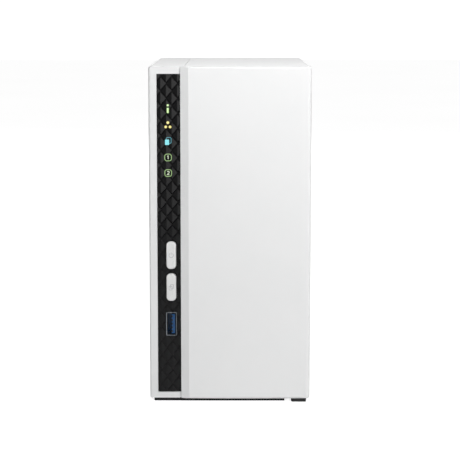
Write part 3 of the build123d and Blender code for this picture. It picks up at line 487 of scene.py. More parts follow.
# Extruded soft insulation of the fan lead, in its three colours: satin, a little waxy.
WIRE_BLACK = Finish("Black wire insulation", "#1B1B1C", "#232325", (0.35, 0.48), cloud_mm=3.0, grain_mm=0.5)
WIRE_RED = Finish("Red wire insulation", "#A81E1C", "#981816", (0.35, 0.48), cloud_mm=3.0, grain_mm=0.5)
WIRE_YELLOW = Finish(
    "Yellow wire insulation", "#D9B21F", "#CBA416", (0.35, 0.48), cloud_mm=3.0, grain_mm=0.5
)
# Light through the smoked sheet: a pale core and a deeper rim in the same hue.
GREEN_CORE = Finish("Green light core", "#E9FFC8", "#D2F8A4", (0.3, 0.4), glow=1.0, lamp=True, cloud_mm=1.0)
GREEN_RIM = Finish("Green light rim", "#4E8C2E", "#417C24", (0.3, 0.4), glow=0.9, lamp=True, cloud_mm=1.0)
AMBER_CORE = Finish("Amber light core", "#FFF8AC", "#FBF08E", (0.3, 0.4), glow=1.0, lamp=True, cloud_mm=1.0)
AMBER_RIM = Finish("Amber light rim", "#9A8434", "#836E26", (0.3, 0.4), glow=0.9, lamp=True, cloud_mm=1.0)
# The copy icon: a bright front sheet and a dim one behind it.
CYAN_CORE = Finish("Cyan light core", "#9AF2F6", "#84E2EE", (0.3, 0.4), glow=1.0, lamp=True, cloud_mm=0.8)
CYAN_DIM = Finish(
    "Cyan light seen dimly", "#5C9CA8", "#4C8896", (0.3, 0.4), glow=1.0, lamp=True, cloud_mm=1.0
)
# The disk icons: a pale green ring, a paler digit and a black field between them.
RING_GREEN = Finish(
    "Pale green light ring", "#A2C088", "#8CB070", (0.3, 0.4), glow=1.0, lamp=True, cloud_mm=1.0
)
DIGIT_GREEN = Finish(
    "Pale green light digit", "#DCE6D0", "#C8D8B8", (0.3, 0.4), glow=1.0, lamp=True, cloud_mm=1.0
)
DARK_WINDOW = Finish("Black window print", "#060807", "#0A0C0A", (0.25, 0.35), specular=0.2, cloud_mm=1.0)


# ---------------------------------------------------------------- surfaces


@dataclass(frozen=True)
class Shell:
    """Points in millimetres and the faces over them, in blocks with one corner count each."""

    points: Array
    blocks: tuple[Array, ...]

    def at(self, offsets: Array) -> "Shell":
        """Copies of the shell: point + offset for every pair of the two.

        Args:
            offsets: one row of x, y, z for each copy.

        Returns:
            All copies as one shell.
        """
        offsets = np.atleast_2d(offsets)
        start = (np.arange(len(offsets)) * len(self.points))[:, None, None]
        points = (offsets[:, None] + self.points[None]).reshape(-1, 3)
        blocks = tuple((start + block[None]).reshape(-1, block.shape[1]) for block in self.blocks)
        return Shell(points, blocks)

    def face_count(self) -> int:
        """Number of faces."""
        return sum(len(block) for block in self.blocks)


def joined(shells: Sequence[Shell]) -> Shell:
    """Put shells in one, with their faces renumbered.

    Args:
        shells: at least one shell.

    Returns:
        One shell that holds them all, in order.
    """
    starts = np.cumsum([0] + [len(shell.points) for shell in shells])
    blocks = [block + start for shell, start in zip(shells, starts) for block in shell.blocks]
    return Shell(np.concatenate([shell.points for shell in shells]), tuple(blocks))


def sheet(points: Array, closed: bool = False, ends: bool = False) -> Shell:
    """Faces over a grid point(u, v), where rows run along u and columns along v.

    Args:
        points: grid of rows by columns by 3.
        closed: the last column joins the first.
        ends: the first and the last row are each closed with one face.

    Returns:
        The shell.
    """
    rows, columns = points.shape[:2]
    index = np.arange(rows * columns).reshape(rows, columns)
    ring = np.hstack([index, index[:, :1]]) if closed else index
    corners = [ring[:-1, :-1], ring[1:, :-1], ring[1:, 1:], ring[:-1, 1:]]
    quads = np.stack(corners, axis=-1).reshape(-1, 4)
    caps = (index[:1, ::-1], index[-1:]) if ends else ()
    return Shell(points.reshape(-1, 3), (quads, *caps))


def placed(flat: Array, height: Array | float, axis: Axis) -> Array:
    """Stand flat points up: two coordinates keep their order, and the axis gets the height.

    Args:
        flat: array whose last dimension is 2.
        height: value along the axis, broadcast over the points.
        axis: the axis left out of the flat points.

    Returns:
        Array whose last dimension is 3.
    """
    others = [number for number in range(3) if number != axis.value]
    points = np.empty((*flat.shape[:-1], 3))
    points[..., others] = flat
    points[..., axis.value] = height
    return points


def rounded(centre: Pair, size: Pair, radius: float, steps: int = 6) -> Array:
    """Outline of a rounded rectangle: corner + radius (cos t, sin t) over each quarter turn t.

    Args:
        centre: middle of the rectangle.
        size: its two sides.
        radius: corner radius.
        steps: points on each corner.

    Returns:
        Array of 4 * steps by 2, anticlockwise.
    """
    quarter = np.linspace(0, np.pi / 2, steps) if steps > 1 else np.array([np.pi / 4])
    turn = quarter[None] + (np.arange(4) * np.pi / 2)[:, None]
    signs = np.array([(1, 1), (-1, 1), (-1, -1), (1, -1)])
    corner = np.array(centre) + signs * (np.array(size) / 2 - radius)
    arc = np.stack([np.cos(turn), np.sin(turn)], axis=-1) * radius
    return (corner[:, None] + arc).reshape(-1, 2)


def bar(
    centre: Pair, size: Pair, span: Pair, axis: Axis, radius: float = 0.05, edge: float = 0.0, steps: int = 6
) -> Shell:
    """A rounded rectangle carried along an axis, drawn in by edge at both ends as a chamfer.

    Args:
        centre: middle of the section.
        size: sides of the section.
        span: where it starts and ends along the axis.
        axis: direction of the bar.
        radius: corner radius of the section.
        edge: chamfer at the two ends.
        steps: points on each corner.

    Returns:
        A closed shell.
    """
    insets = np.array([edge, 0, 0, edge])
    heights = np.array([span[0], span[0] + edge, span[1] - edge, span[1]])
    outlines = np.stack(
        [
            rounded(centre, (size[0] - 2 * inset, size[1] - 2 * inset), max(radius - inset, 0.02), steps)
            for inset in insets
        ]
    )
    return sheet(placed(outlines, heights[:, None], axis), closed=True, ends=True)


def turned(profile: Sequence[Pair], centre: Pair, axis: Axis, sides: int = 24) -> Shell:
    """A profile turned round an axis: centre + r(u) (cos v, sin v) at height h(u).

    Args:
        profile: pairs of radius and height.
        centre: where the axis passes.
        axis: direction of the axis.
        sides: points round it.

    Returns:
        A closed shell.
    """
    steps = np.array(profile)
    angle = np.linspace(0, 2 * np.pi, sides, endpoint=False)
    ring = np.stack([np.cos(angle), np.sin(angle)], axis=-1)
    flat = np.array(centre) + steps[:, None, :1] * ring[None]
    return sheet(placed(flat, steps[:, 1:], axis), closed=True, ends=True)


def tube(path: Array, radius: float, sides: int = 8) -> Shell:
    """A circle carried along a path: path(u) + radius (cos v side(u) + sin v up(u)).

    Args:
        path: rows of x, y, z.
        radius: radius of the tube.
        sides: points round it.

    Returns:
        A closed shell.
    """
    along = np.gradient(path, axis=0)
    along /= np.linalg.norm(along, axis=1, keepdims=True)
    steady = np.eye(3)[np.argmin(np.abs(along).mean(axis=0))]
    side = np.cross(along, steady)
    side /= np.linalg.norm(side, axis=1, keepdims=True)
    up = np.cross(along, side)
    angle = np.linspace(0, 2 * np.pi, sides, endpoint=False)[None, :, None]
    ring = np.cos(angle) * side[:, None] + np.sin(angle) * up[:, None]
    return sheet(path[:, None] + radius * ring, closed=True, ends=True)


def offset_path(path: Array, distance: float, loop: bool = False) -> Array:
    """Move a flat path sideways: path(u) + distance * mitre(u), so straight runs keep their gap.

    Args:
        path: rows of two coordinates.
        distance: how far to the left.
        loop: the path closes on itself.

    Returns:
        The moved path.
    """
    ahead = np.roll(path, -1, axis=0) - path
    if not loop:
        ahead[-1] = ahead[-2]
    ahead /= np.linalg.norm(ahead, axis=1, keepdims=True)
    behind = np.roll(ahead, 1, axis=0)
    if not loop:
        behind[0] = ahead[0]
    normal = np.stack([-(ahead + behind)[:, 1], (ahead + behind)[:, 0]], axis=-1)
    normal /= np.linalg.norm(normal, axis=1, keepdims=True)
    left = np.stack([-ahead[:, 1], ahead[:, 0]], axis=-1)
    stretch = 1 / np.maximum((normal * left).sum(axis=1, keepdims=True), 0.5)
    return path + distance * normal * stretch


def stroke(path: Array, width: float, across: int = 4, loop: bool = False) -> Array:
    """Flat grid of a stroke: path(u) moved sideways by v from -width / 2 to width / 2.

    Args:
        path: rows of two coordinates.
        width: full width of the stroke.
        across: points from side to side.
        loop: the path closes on itself.

    Returns:
        Grid of len(path), plus one if it closes, by across by 2.
    """
    sides = [offset_path(path, d, loop) for d in np.linspace(-width / 2, width / 2, across)]
    grid = np.stack(sides, axis=1)
    return np.concatenate([grid, grid[:1]]) if loop else grid


def filled(outline: Array, rings: int = 5) -> Array:
    """Flat grid of a filled outline: middle + u (outline(v) - middle) for u from almost 0 to 1.

    Args:
        outline: rows of two coordinates, convex.
        rings: points from the middle to the edge.

    Returns:
        Grid of rings by len(outline) + 1 by 2.
    """
    middle = outline.mean(axis=0)
    share = np.linspace(0.02, 1, rings)[:, None, None]
    closed = np.concatenate([outline, outline[:1]])
    return middle + share * (closed - middle)[None]


def circle(centre: Pair, radius: float, count: int = 20) -> Array:
    """Points on a circle."""
    angle = np.linspace(0, 2 * np.pi, count, endpoint=False)
    return np.array(centre) + radius * np.stack([np.cos(angle), np.sin(angle)], axis=-1)


def spread(points: Sequence[Pair], count: int) -> Array:
    """Evenly spaced points along straight runs: the position at each equal share of the length.

    Args:
        points: corners of the path.
        count: how many points to give.

    Returns:
        Array of count by 2.
    """
    corners = np.array(points, float)
    length = np.concatenate([[0], np.cumsum(np.linalg.norm(np.diff(corners, axis=0), axis=1))])
    share = np.linspace(0, length[-1], count)
    return np.stack([np.interp(share, length, corners[:, k]) for k in (0, 1)], axis=-1)


@dataclass
class Layer:
    """A shell with its finish, as one part of a piece."""

    shell: Shell
    finish: Finish


def make_piece(
    name: str,
    layers: Sequence[Layer],
    body: Body = Body.CHASSIS,
    facing: Triple | None = None,
    smooth_deg: float = 40.0,
) -> bpy.types.Object:
    """Write layers into one mesh object that rides on a body.

    Args:
        name: name of the piece.
        layers: shells and their finishes.
        body: body that the piece moves with.
        facing: for open sheets, the side that their faces look to; closed shells leave it out.
        smooth_deg: edges that turn less than this are shaded smooth.

    Returns:
        The new object.
    """
    whole = joined([layer.shell for layer in layers])
    mesh = bpy.data.meshes.new(name)
    mesh.from_pydata((whole.points * MM).tolist(), [], [f for block in whole.blocks for f in block.tolist()])
    counts = [layer.shell.face_count() for layer in layers]
    finishes = list(dict.fromkeys(layer.finish for layer in layers))
    numbers = np.repeat([finishes.index(layer.finish) for layer in layers], counts)
    for finish in finishes:
        mesh.materials.append(finish.material())
    mesh.polygons.foreach_set("material_index", numbers.astype(np.int32))
    if facing is None:
        turn_outwards(mesh)
    else:
        turn_towards(mesh, facing)
    mesh.polygons.foreach_set("use_smooth", np.ones(len(mesh.polygons), bool))
    mesh.set_sharp_from_angle(angle=math.radians(smooth_deg))
    mesh.update()
    piece = bpy.data.objects.new(name, mesh)
    bpy.context.scene.collection.objects.link(piece)
    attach(piece, body.value)
    LOG.info("%s: %d faces on %s", name, len(mesh.polygons), body.value)
    return piece


def turn_outwards(mesh: bpy.types.Mesh) -> None:
    """Turn the faces of closed shells outwards."""
    edit = bmesh.new()
    edit.from_mesh(mesh)
    bmesh.ops.recalc_face_normals(edit, faces=edit.faces[:])
    edit.to_mesh(mesh)
    edit.free()


def turn_towards(mesh: bpy.types.Mesh, facing: Triple) -> None:
    """Flip each face of an open sheet that looks away from a direction.

    Args:
        mesh: the mesh.
        facing: the direction that every face should look to.
    """
    edit = bmesh.new()
    edit.from_mesh(mesh)
    away = [face for face in edit.faces if face.normal.dot(Vector(facing)) < 0]
    bmesh.ops.reverse_faces(edit, faces=away)
    edit.to_mesh(mesh)
    edit.free()


def carve(piece: bpy.types.Object, tool: Shell, operation: str) -> None:
    """Cut a closed piece with a closed shell and keep the result as its mesh.

    Args:
        piece: the object to cut.
        tool: the cutting shell.
        operation: "DIFFERENCE" or "INTERSECT".
    """
    mesh = bpy.data.meshes.new("cutter")
    mesh.from_pydata((tool.points * MM).tolist(), [], [f for block in tool.blocks for f in block.tolist()])
    turn_outwards(mesh)
    cutter = bpy.data.objects.new("cutter", mesh)
    bpy.context.scene.collection.objects.link(cutter)
    cut = piece.modifiers.new("cut", "BOOLEAN")
    cut.operation = operation
    cut.solver = "EXACT"
    cut.object = cutter
    graph = bpy.context.evaluated_depsgraph_get()
    result = bpy.data.meshes.new_from_object(piece.evaluated_get(graph), depsgraph=graph)
    piece.modifiers.remove(cut)
    old = piece.data
    piece.data = result
    bpy.data.meshes.remove(old)
    bpy.data.objects.remove(cutter)
    bpy.data.meshes.remove(mesh)


def dress(finish: Finish, *nodes: str) -> None:
    """Give CAD nodes a finish in all their material slots.

    Args:
        finish: the finish.
        nodes: names of CAD nodes.
    """
    for name in nodes:
        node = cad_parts[name]
        if not node.material_slots:
            node.data.materials.append(finish.material())
        for place in node.material_slots:
            place.material = finish.material()
        LOG.info("%s: %s", name, finish.name)


# ---------------------------------------------------------------- sub-assemblies


@dataclass
class Casing:
    """Main housing, side cover, rear panel, feet and their screws."""

    def build(self) -> None:
        """Dress the mouldings, the feet and the fasteners."""
        dress(WHITE_ABS, "side_cover")
        # The housing and the rear panel get the greyer copy of the cover's ABS: painted shade.
        dress(HOUSING_ABS_PAINTED_SHADE, "main_housing", "rear_panel")
        dress(RUBBER, "housing_feet", "cover_feet")
        dress(SCREW_ZINC, "panel_screws", "cover_screws")
        dress(CASE_ZINC, "lock_plate")


@dataclass
class DisplayColumn:
    """The dark front trim with its diamonds, the five lit icons and the lamps behind them."""

    outline_x: Pair = (-40.45, -24.65)
    outline_z: Pair = (5.45, 184.45)
    flange_x: Pair = (-41.65, -23.45)
    flange_z: Pair = (4.55, 185.35)
    flange_y: Pair = (-72.6, -71.53)
    corner: float = 0.5
    valley_y: float = -74.30
    peak_y: float = -75.02
    back_y: float = -72.2
    diamond: Pair = (6.2, 8.26)
    ridge: float = 0.8
    first_peak: Pair = (-38.45, 179.35)
    control_x: float = -32.9
    button_z: Pair = (83.5, 65.35)
    button_hole: Pair = (5.9, 16.0)
    button_corner: float = 2.5
    usb_hole: Pair = (6.1, 13.5)
    usb_z: float = 44.4
    quiet_z: Pair = (0.0, 93.5)
    quiet_share: float = 0.5
    icon_lift: float = 0.04
    icon_step: float = 0.13

    def peak_share(self, z: Array) -> Array:
        """Height of the diamonds as a share of the full height: lower beside the controls.

        Args:
            z: heights above the floor.

        Returns:
            Shares from quiet_share to 1, changing over one diamond.
        """
        low, high = self.quiet_z
        outside = np.maximum(low - z, z - high)
        return self.quiet_share + (1 - self.quiet_share) * np.clip(outside / self.diamond[1] + 0.5, 0, 1)

    def front(self, x: Array, z: Array) -> Array:
        """Front surface of the diamonds at any place.

        In half diamonds from the nearest peak, u across and v up, the height is the smaller of
        1 - |u| and (1 - |u| - |v|) / (1 - ridge): two broad faces that meet in an upright ridge,
        and four narrow ones that close its ends.

        Args:
            x: across.
            z: up.

        Returns:
            The y of the surface.
        """
        u = (x - self.first_peak[0]) / (self.diamond[0] / 2)
        v = (z - self.first_peak[1]) / (self.diamond[1] / 2)
        one, two = 2 * np.round((u + v) / 2), 2 * np.round((u - v) / 2)
        across, up = np.abs(u - (one + two) / 2), np.abs(v - (one - two) / 2)
        height = np.minimum(1 - across, (1 - across - up) / (1 - self.ridge))
        return self.valley_y + (self.peak_y - self.valley_y) * height * self.peak_share(z)

    def relief(self) -> Shell:
        """One flat-sided diamond set at every even node of a grid of half diamonds.

        Each diamond has its four corners and the two ends of its ridge. The field is open behind until
        close_behind joins its diamonds and closes it, which makes the whole field solid.

        Returns:
            The shell.
        """
        half = np.array(self.diamond) / 2
        flat = np.array([(0, 1), (1, 0), (0, -1), (-1, 0), (0, self.ridge), (0, -self.ridge)]) * half
        nodes = np.stack(np.meshgrid(np.arange(-2, 8), np.arange(-45, 4)), axis=-1).reshape(-1, 2)
        centres = np.array(self.first_peak) + nodes[nodes.sum(axis=1) % 2 == 0] * half
        places = centres[:, None] + flat[None]
        rise = np.array([0, 0, 0, 0, 1, 1]) * (self.peak_y - self.valley_y)
        front = placed(places, self.valley_y + rise * self.peak_share(places[..., 1]), Axis.Y)
        faces = np.array([(4, 5, 1), (5, 4, 3), (0, 4, 1), (0, 3, 4), (2, 1, 5), (2, 5, 3)])
        start = (np.arange(len(centres)) * len(flat))[:, None, None]
        return Shell(front.reshape(-1, 3), ((start + faces[None]).reshape(-1, 3),))

    def close_behind(self, piece: bpy.types.Object) -> None:
        """Join the diamonds of a field and carry its border back to a flat rear face.

        Args:
            piece: the open field of diamonds.
        """
        edit = bmesh.new()
        edit.from_mesh(piece.data)
        bmesh.ops.remove_doubles(edit, verts=edit.verts[:], dist=1e-5)
        border = [edge for edge in edit.edges if edge.is_boundary]
        walls = bmesh.ops.extrude_edge_only(edit, edges=border)["geom"]
        bmesh.ops.holes_fill(edit, edges=[edge for edge in walls if isinstance(edge, bmesh.types.BMEdge)])
        rear = [vert for vert in walls if isinstance(vert, bmesh.types.BMVert)]
        depth = self.back_y * MM
        bmesh.ops.transform(
            edit, verts=rear, matrix=Matrix.Translation((0, depth, 0)) @ Matrix.Diagonal((1, 0, 1, 1))
        )
        bmesh.ops.recalc_face_normals(edit, faces=edit.faces[:])
        edit.to_mesh(piece.data)
        edit.free()

    def openings(self) -> list[Shell]:
        """Tools for the two button openings and the socket opening."""
        reach = (-76.0, -70.0)
        holes = [
            bar((self.control_x, z), self.button_hole, reach, Axis.Y, self.button_corner, steps=10)
            for z in self.button_z
        ]
        return [*holes, bar((self.control_x, self.usb_z), self.usb_hole, reach, Axis.Y, 0.3)]

    def trim(self) -> bpy.types.Object:
        """Build the trim: diamonds cut to the window's outline, a flange behind, and three openings.

        Returns:
            The trim, in place of the plain CAD one.
        """
        centre = (sum(self.outline_x) / 2, sum(self.outline_z) / 2)
        size = (self.outline_x[1] - self.outline_x[0], self.outline_z[1] - self.outline_z[0])
        diamonds = [Layer(self.relief(), SMOKED_PC)]
        trim = make_piece("trim_diamonds", diamonds, facing=(0, -1, 0))
        self.close_behind(trim)
        carve(trim, bar(centre, size, (-76.0, -70.0), Axis.Y, self.corner), "INTERSECT")
        middle = (sum(self.flange_x) / 2, sum(self.flange_z) / 2)
        sides = (self.flange_x[1] - self.flange_x[0], self.flange_z[1] - self.flange_z[0])
        plate = bar(middle, sides, self.flange_y, Axis.Y, self.corner, 0.15)
        flange = make_piece("trim_flange", [Layer(plate, SMOKED_PC)])
        for tool in self.openings():
            carve(trim, tool, "DIFFERENCE")
            carve(flange, tool, "DIFFERENCE")
        trim.data.polygons.foreach_set("use_smooth", np.zeros(len(trim.data.polygons), bool))
        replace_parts(trim, "front_trim")
        return trim

    def draped(self, flat: Array, level: int) -> Shell:
        """Lay a flat grid of x and z on the diamonds.

        Args:
            flat: grid whose last dimension is x and z.
            level: 1 lies just in front of 0.

        Returns:
            An open sheet a little in front of the surface.
        """
        y = self.front(flat[..., 0], flat[..., 1]) - self.icon_lift * (1 + level)
        return sheet(placed(flat, y, Axis.Y))

    def loop(self, outline: Array) -> Array:
        """The same closed outline with a point every icon_step, so that it can follow the ridges."""
        closed = np.concatenate([outline, outline[:1]])
        length = np.linalg.norm(np.diff(closed, axis=0), axis=1).sum()
        return spread(closed, round(length / self.icon_step) + 1)[:-1]

    def patch(self, outline: Array, level: int) -> Shell:
        """A filled outline laid on the diamonds."""
        rings = round(np.ptp(outline, axis=0).max() / 2 / self.icon_step) + 2
        return self.draped(filled(self.loop(outline), rings), level)

    def spot(self, centre: Pair, radius: float, core: Finish, rim: Finish) -> list[Layer]:
        """A round light: a pale core on a wider rim."""
        return [
            Layer(self.patch(circle(centre, radius + 0.1), 0), rim),
            Layer(self.patch(circle(centre, radius - 0.06), 1), core),
        ]

    def status_icon(self) -> list[Layer]:
        """A dot over a short upright bar."""
        wide = rounded((-34.39, 164.4), (1.4, 3.2), 0.35)
        narrow = rounded((-34.39, 164.4), (1.0, 2.85), 0.25)
        return [
            *self.spot((-34.39, 167.25), 0.62, GREEN_CORE, GREEN_RIM),
            Layer(self.patch(wide, 0), GREEN_RIM),
            Layer(self.patch(narrow, 1), GREEN_CORE),
        ]

    def network_icon(self) -> list[Layer]:
        """Three dots in a triangle."""
        centres = ((-34.39, 157.68), (-35.56, 155.30), (-33.18, 155.30))
        return [layer for centre in centres for layer in self.spot(centre, 0.78, AMBER_CORE, AMBER_RIM)]

    def copy_icon(self) -> list[Layer]:
        """A filled sheet in front of an outlined one."""
        behind = rounded((-33.97, 147.8), (2.7, 3.25), 0.7)
        ahead = rounded((-34.88, 146.8), (2.3, 3.0), 0.3)
        return [
            Layer(self.draped(stroke(self.loop(behind), 0.42, loop=True), 0), CYAN_DIM),
            Layer(self.patch(ahead, 1), CYAN_CORE),
        ]

    def drive_icon(self, centre: Pair, digit: Array) -> list[Layer]:
        """A ring with the drive's number in it.

        Args:
            centre: middle of the ring.
            digit: the number's stroke, round the origin.

        Returns:
            The dark field, the ring and the number.
        """
        ring = rounded(centre, (3.75, 3.75), 1.25)
        return [
            Layer(self.patch(rounded(centre, (3.4, 3.4), 1.1), 0), DARK_WINDOW),
            Layer(self.draped(stroke(self.loop(ring), 0.45, loop=True), 1), RING_GREEN),
            Layer(self.draped(stroke(digit + centre, 0.46), 1), DIGIT_GREEN),
        ]

    def icons(self) -> None:
        """Build the five icons as sheets on the diamonds."""
        one = spread([(-0.45, 0.55), (0.05, 0.95), (0.05, -0.95)], 16)
        angle = np.linspace(2.9, -0.7, 12)
        hook = np.stack([0.55 * np.cos(angle), 0.42 + 0.52 * np.sin(angle)], axis=-1)
        two = np.concatenate([hook, spread([(-0.55, -0.9), (0.62, -0.9)], 8)])
        groups = {
            "icon_status": self.status_icon(),
            "icon_network": self.network_icon(),
            "icon_copy": self.copy_icon(),
            "icon_drive_1": self.drive_icon((-34.37, 138.34), one),
            "icon_drive_2": self.drive_icon((-34.33, 129.68), two),
        }
        for name, layers in groups.items():
            make_piece(name, layers, facing=(0, -1, 0))

    def build(self) -> None:
        """Build the trim and the icons, and dress the light guide and lamps behind them."""
        self.trim()
        self.icons()
        dress(ACRYLIC, "light_pipe")
        dress(LAMP_EPOXY, "status_leds")


@dataclass
class Controls:
    """Power button, copy button and reset button, with their switches and printed marks."""

    control_x: float = -32.9
    power_z: float = 83.5
    copy_z: float = 65.35
    face_y: float = -75.55
    ring_radius: float = 1.25
    line_width: float = 0.28

    def marks(self) -> None:
        """Print a broken ring with a bar on the power button, and two sheets on the copy button."""
        angle = np.linspace(math.radians(125), math.radians(415), 30)
        ring = np.stack([np.cos(angle), np.sin(angle)], axis=-1) * self.ring_radius
        power = [ring, spread([(0, 0.35), (0, 1.65)], 4)]
        copy = [rounded((-0.4, -0.45), (1.75, 2.1), 0.25), rounded((0.45, 0.5), (1.75, 2.1), 0.25)]
        for name, z, paths, loop, body in (
            ("power_mark", self.power_z, power, False, Body.POWER_KEY),
            ("copy_mark", self.copy_z, copy, True, Body.COPY_KEY),
        ):
            lines = [stroke(path + (self.control_x, z), self.line_width, 2, loop) for path in paths]
            layers = [Layer(sheet(placed(line, self.face_y, Axis.Y)), PRINT_GREY) for line in lines]
            make_piece(name, layers, body, facing=(0, -1, 0))

    def build(self) -> None:
        """Dress the buttons and switches, and print the marks."""
        dress(BUTTON_ABS, "power_button", "copy_button")
        dress(BLACK_NYLON, "power_switch", "copy_switch", "reset_switch", "reset_button")
        self.marks()


@dataclass
class Sockets:
    """USB, network and supply sockets, with the contacts inside them."""

    control_x: float = -32.9
    front_usb: Pair = (-75.13, 44.4)
    rear_usb: tuple[Pair, ...] = ((77.98, 88.0), (77.98, 108.0))
    tongue_x: float = -32.8
    lip: Pair = (6.0, 13.4)
    lan_face: float = 77.98
    lan_z: float = 64.0

    def usb_contacts(self, mouth: float, z: float) -> Shell:
        """Contacts of one USB socket: four long blades and five short ones on the tongue.

        Args:
            mouth: y of the socket's mouth.
            z: height of its middle.

        Returns:
            The shell.
        """
        inward = 1.0 if mouth < 0 else -1.0
        blades = []
        for places, reach, proud in (
            ((-3.5, -1.0, 1.0, 3.5), (1.6, 8.2), 0.3),
            ((-4.2, -2.2, 0.0, 2.2, 4.2), (0.9, 3.0), 0.5),
        ):
            span = tuple(sorted((mouth + inward * reach[0], mouth + inward * reach[1])))
            blade = bar((self.tongue_x - proud / 2, 0.0), (proud, 0.62), span, Axis.Y, 0.02, 0.06, 1)
            blades.append(blade.at(np.array([(0, 0, z + place) for place in places])))
        return joined(blades)

    def flared_shell(self) -> Shell:
        """Front socket's folded shell: a rounded rectangle(v) at depth(u), drawn in by inset(u).

        It runs up the outside, over the lip, down the funnel of the mouth and along the cavity.

        Returns:
            A closed shell.
        """
        mouth, z = self.front_usb
        inset = np.array([0.05, 0.05, 0.0, 0.0, 0.05, 0.42, 0.45, 0.45])
        depth = np.array([14.2, 0.8, 0.75, 0.08, 0.0, 0.13, 0.3, 13.0])
        outlines = [
            rounded((self.control_x, z), (self.lip[0] - 2 * i, self.lip[1] - 2 * i), max(0.6 - i, 0.15))
            for i in inset
        ]
        return sheet(placed(np.stack(outlines), (mouth + depth)[:, None], Axis.Y), closed=True, ends=True)

    def contact_slot_shadows(self) -> Shell:
        """Dark plates in the tongue's front end, one for each short contact: painted shade of its recesses.
        """
        mouth, z = self.front_usb
        slot = bar((self.tongue_x + 0.4, 0.0), (0.75, 1.0), (mouth + 0.76, mouth + 0.9), Axis.Y, 0.1)
        return slot.at(np.array([(0, 0, z + place) for place in (-4.2, -2.1, 0.0, 2.1, 4.2)]))

    def network_contacts(self) -> Shell:
        """Eight sprung wires in the network socket, rising inwards from the board side.

        Returns:
            The shell.
        """
        share = np.linspace(0, 1, 9)
        y = self.lan_face - 1.6 - 12.0 * share
        x = -33.75 + 1.9 * np.sin(share * np.pi * 0.62) ** 2
        wire = tube(np.stack([x, y, np.zeros(9)], axis=-1), 0.19, 6)
        return wire.at(np.array([(0, 0, self.lan_z + 1.02 * (k - 3.5)) for k in range(8)]))

    def build(self) -> None:
        """Dress the sockets and add the contacts and the two lamp windows."""
        dress(NICKEL, "rear_usb_shells", "lan_port")
        dress(BLUE_NYLON, "front_usb_insert", "rear_usb_inserts")
        dress(BLACK_NYLON, "power_jack")
        dress(GOLD, "power_jack_pin")
        rear = joined([self.usb_contacts(mouth, z) for mouth, z in self.rear_usb])
        # The front socket's contacts are blackened, not gold like the rear ones: painted shade inside the
        # socket.
        contacts = Layer(self.usb_contacts(*self.front_usb), BLACK_OXIDE)
        # Dark plates at the contact ends: painted shade of the recesses in the tongue.
        slots = Layer(self.contact_slot_shadows(), BLACK_NYLON)
        make_piece("front_usb_contacts", [contacts, slots])
        # The front shell takes the darker copy of the nickel: painted shade.
        flared = [Layer(self.flared_shell(), NICKEL_PAINTED_SHADE)]
        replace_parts(make_piece("front_usb_flared_shell", flared), "front_usb_shell")
        make_piece("rear_usb_contacts", [Layer(rear, GOLD)])
        make_piece("network_contacts", [Layer(self.network_contacts(), GOLD)])
        face = (self.lan_face - 0.4, self.lan_face + 0.06)
        lamps = [
            Layer(bar((-24.3, self.lan_z + dz), (1.5, 2.4), face, Axis.Y, 0.25, 0.05), finish)
            for dz, finish in ((-6.0, GREEN_RIM), (6.0, AMBER_RIM))
        ]
        make_piece("network_lamps", lamps)


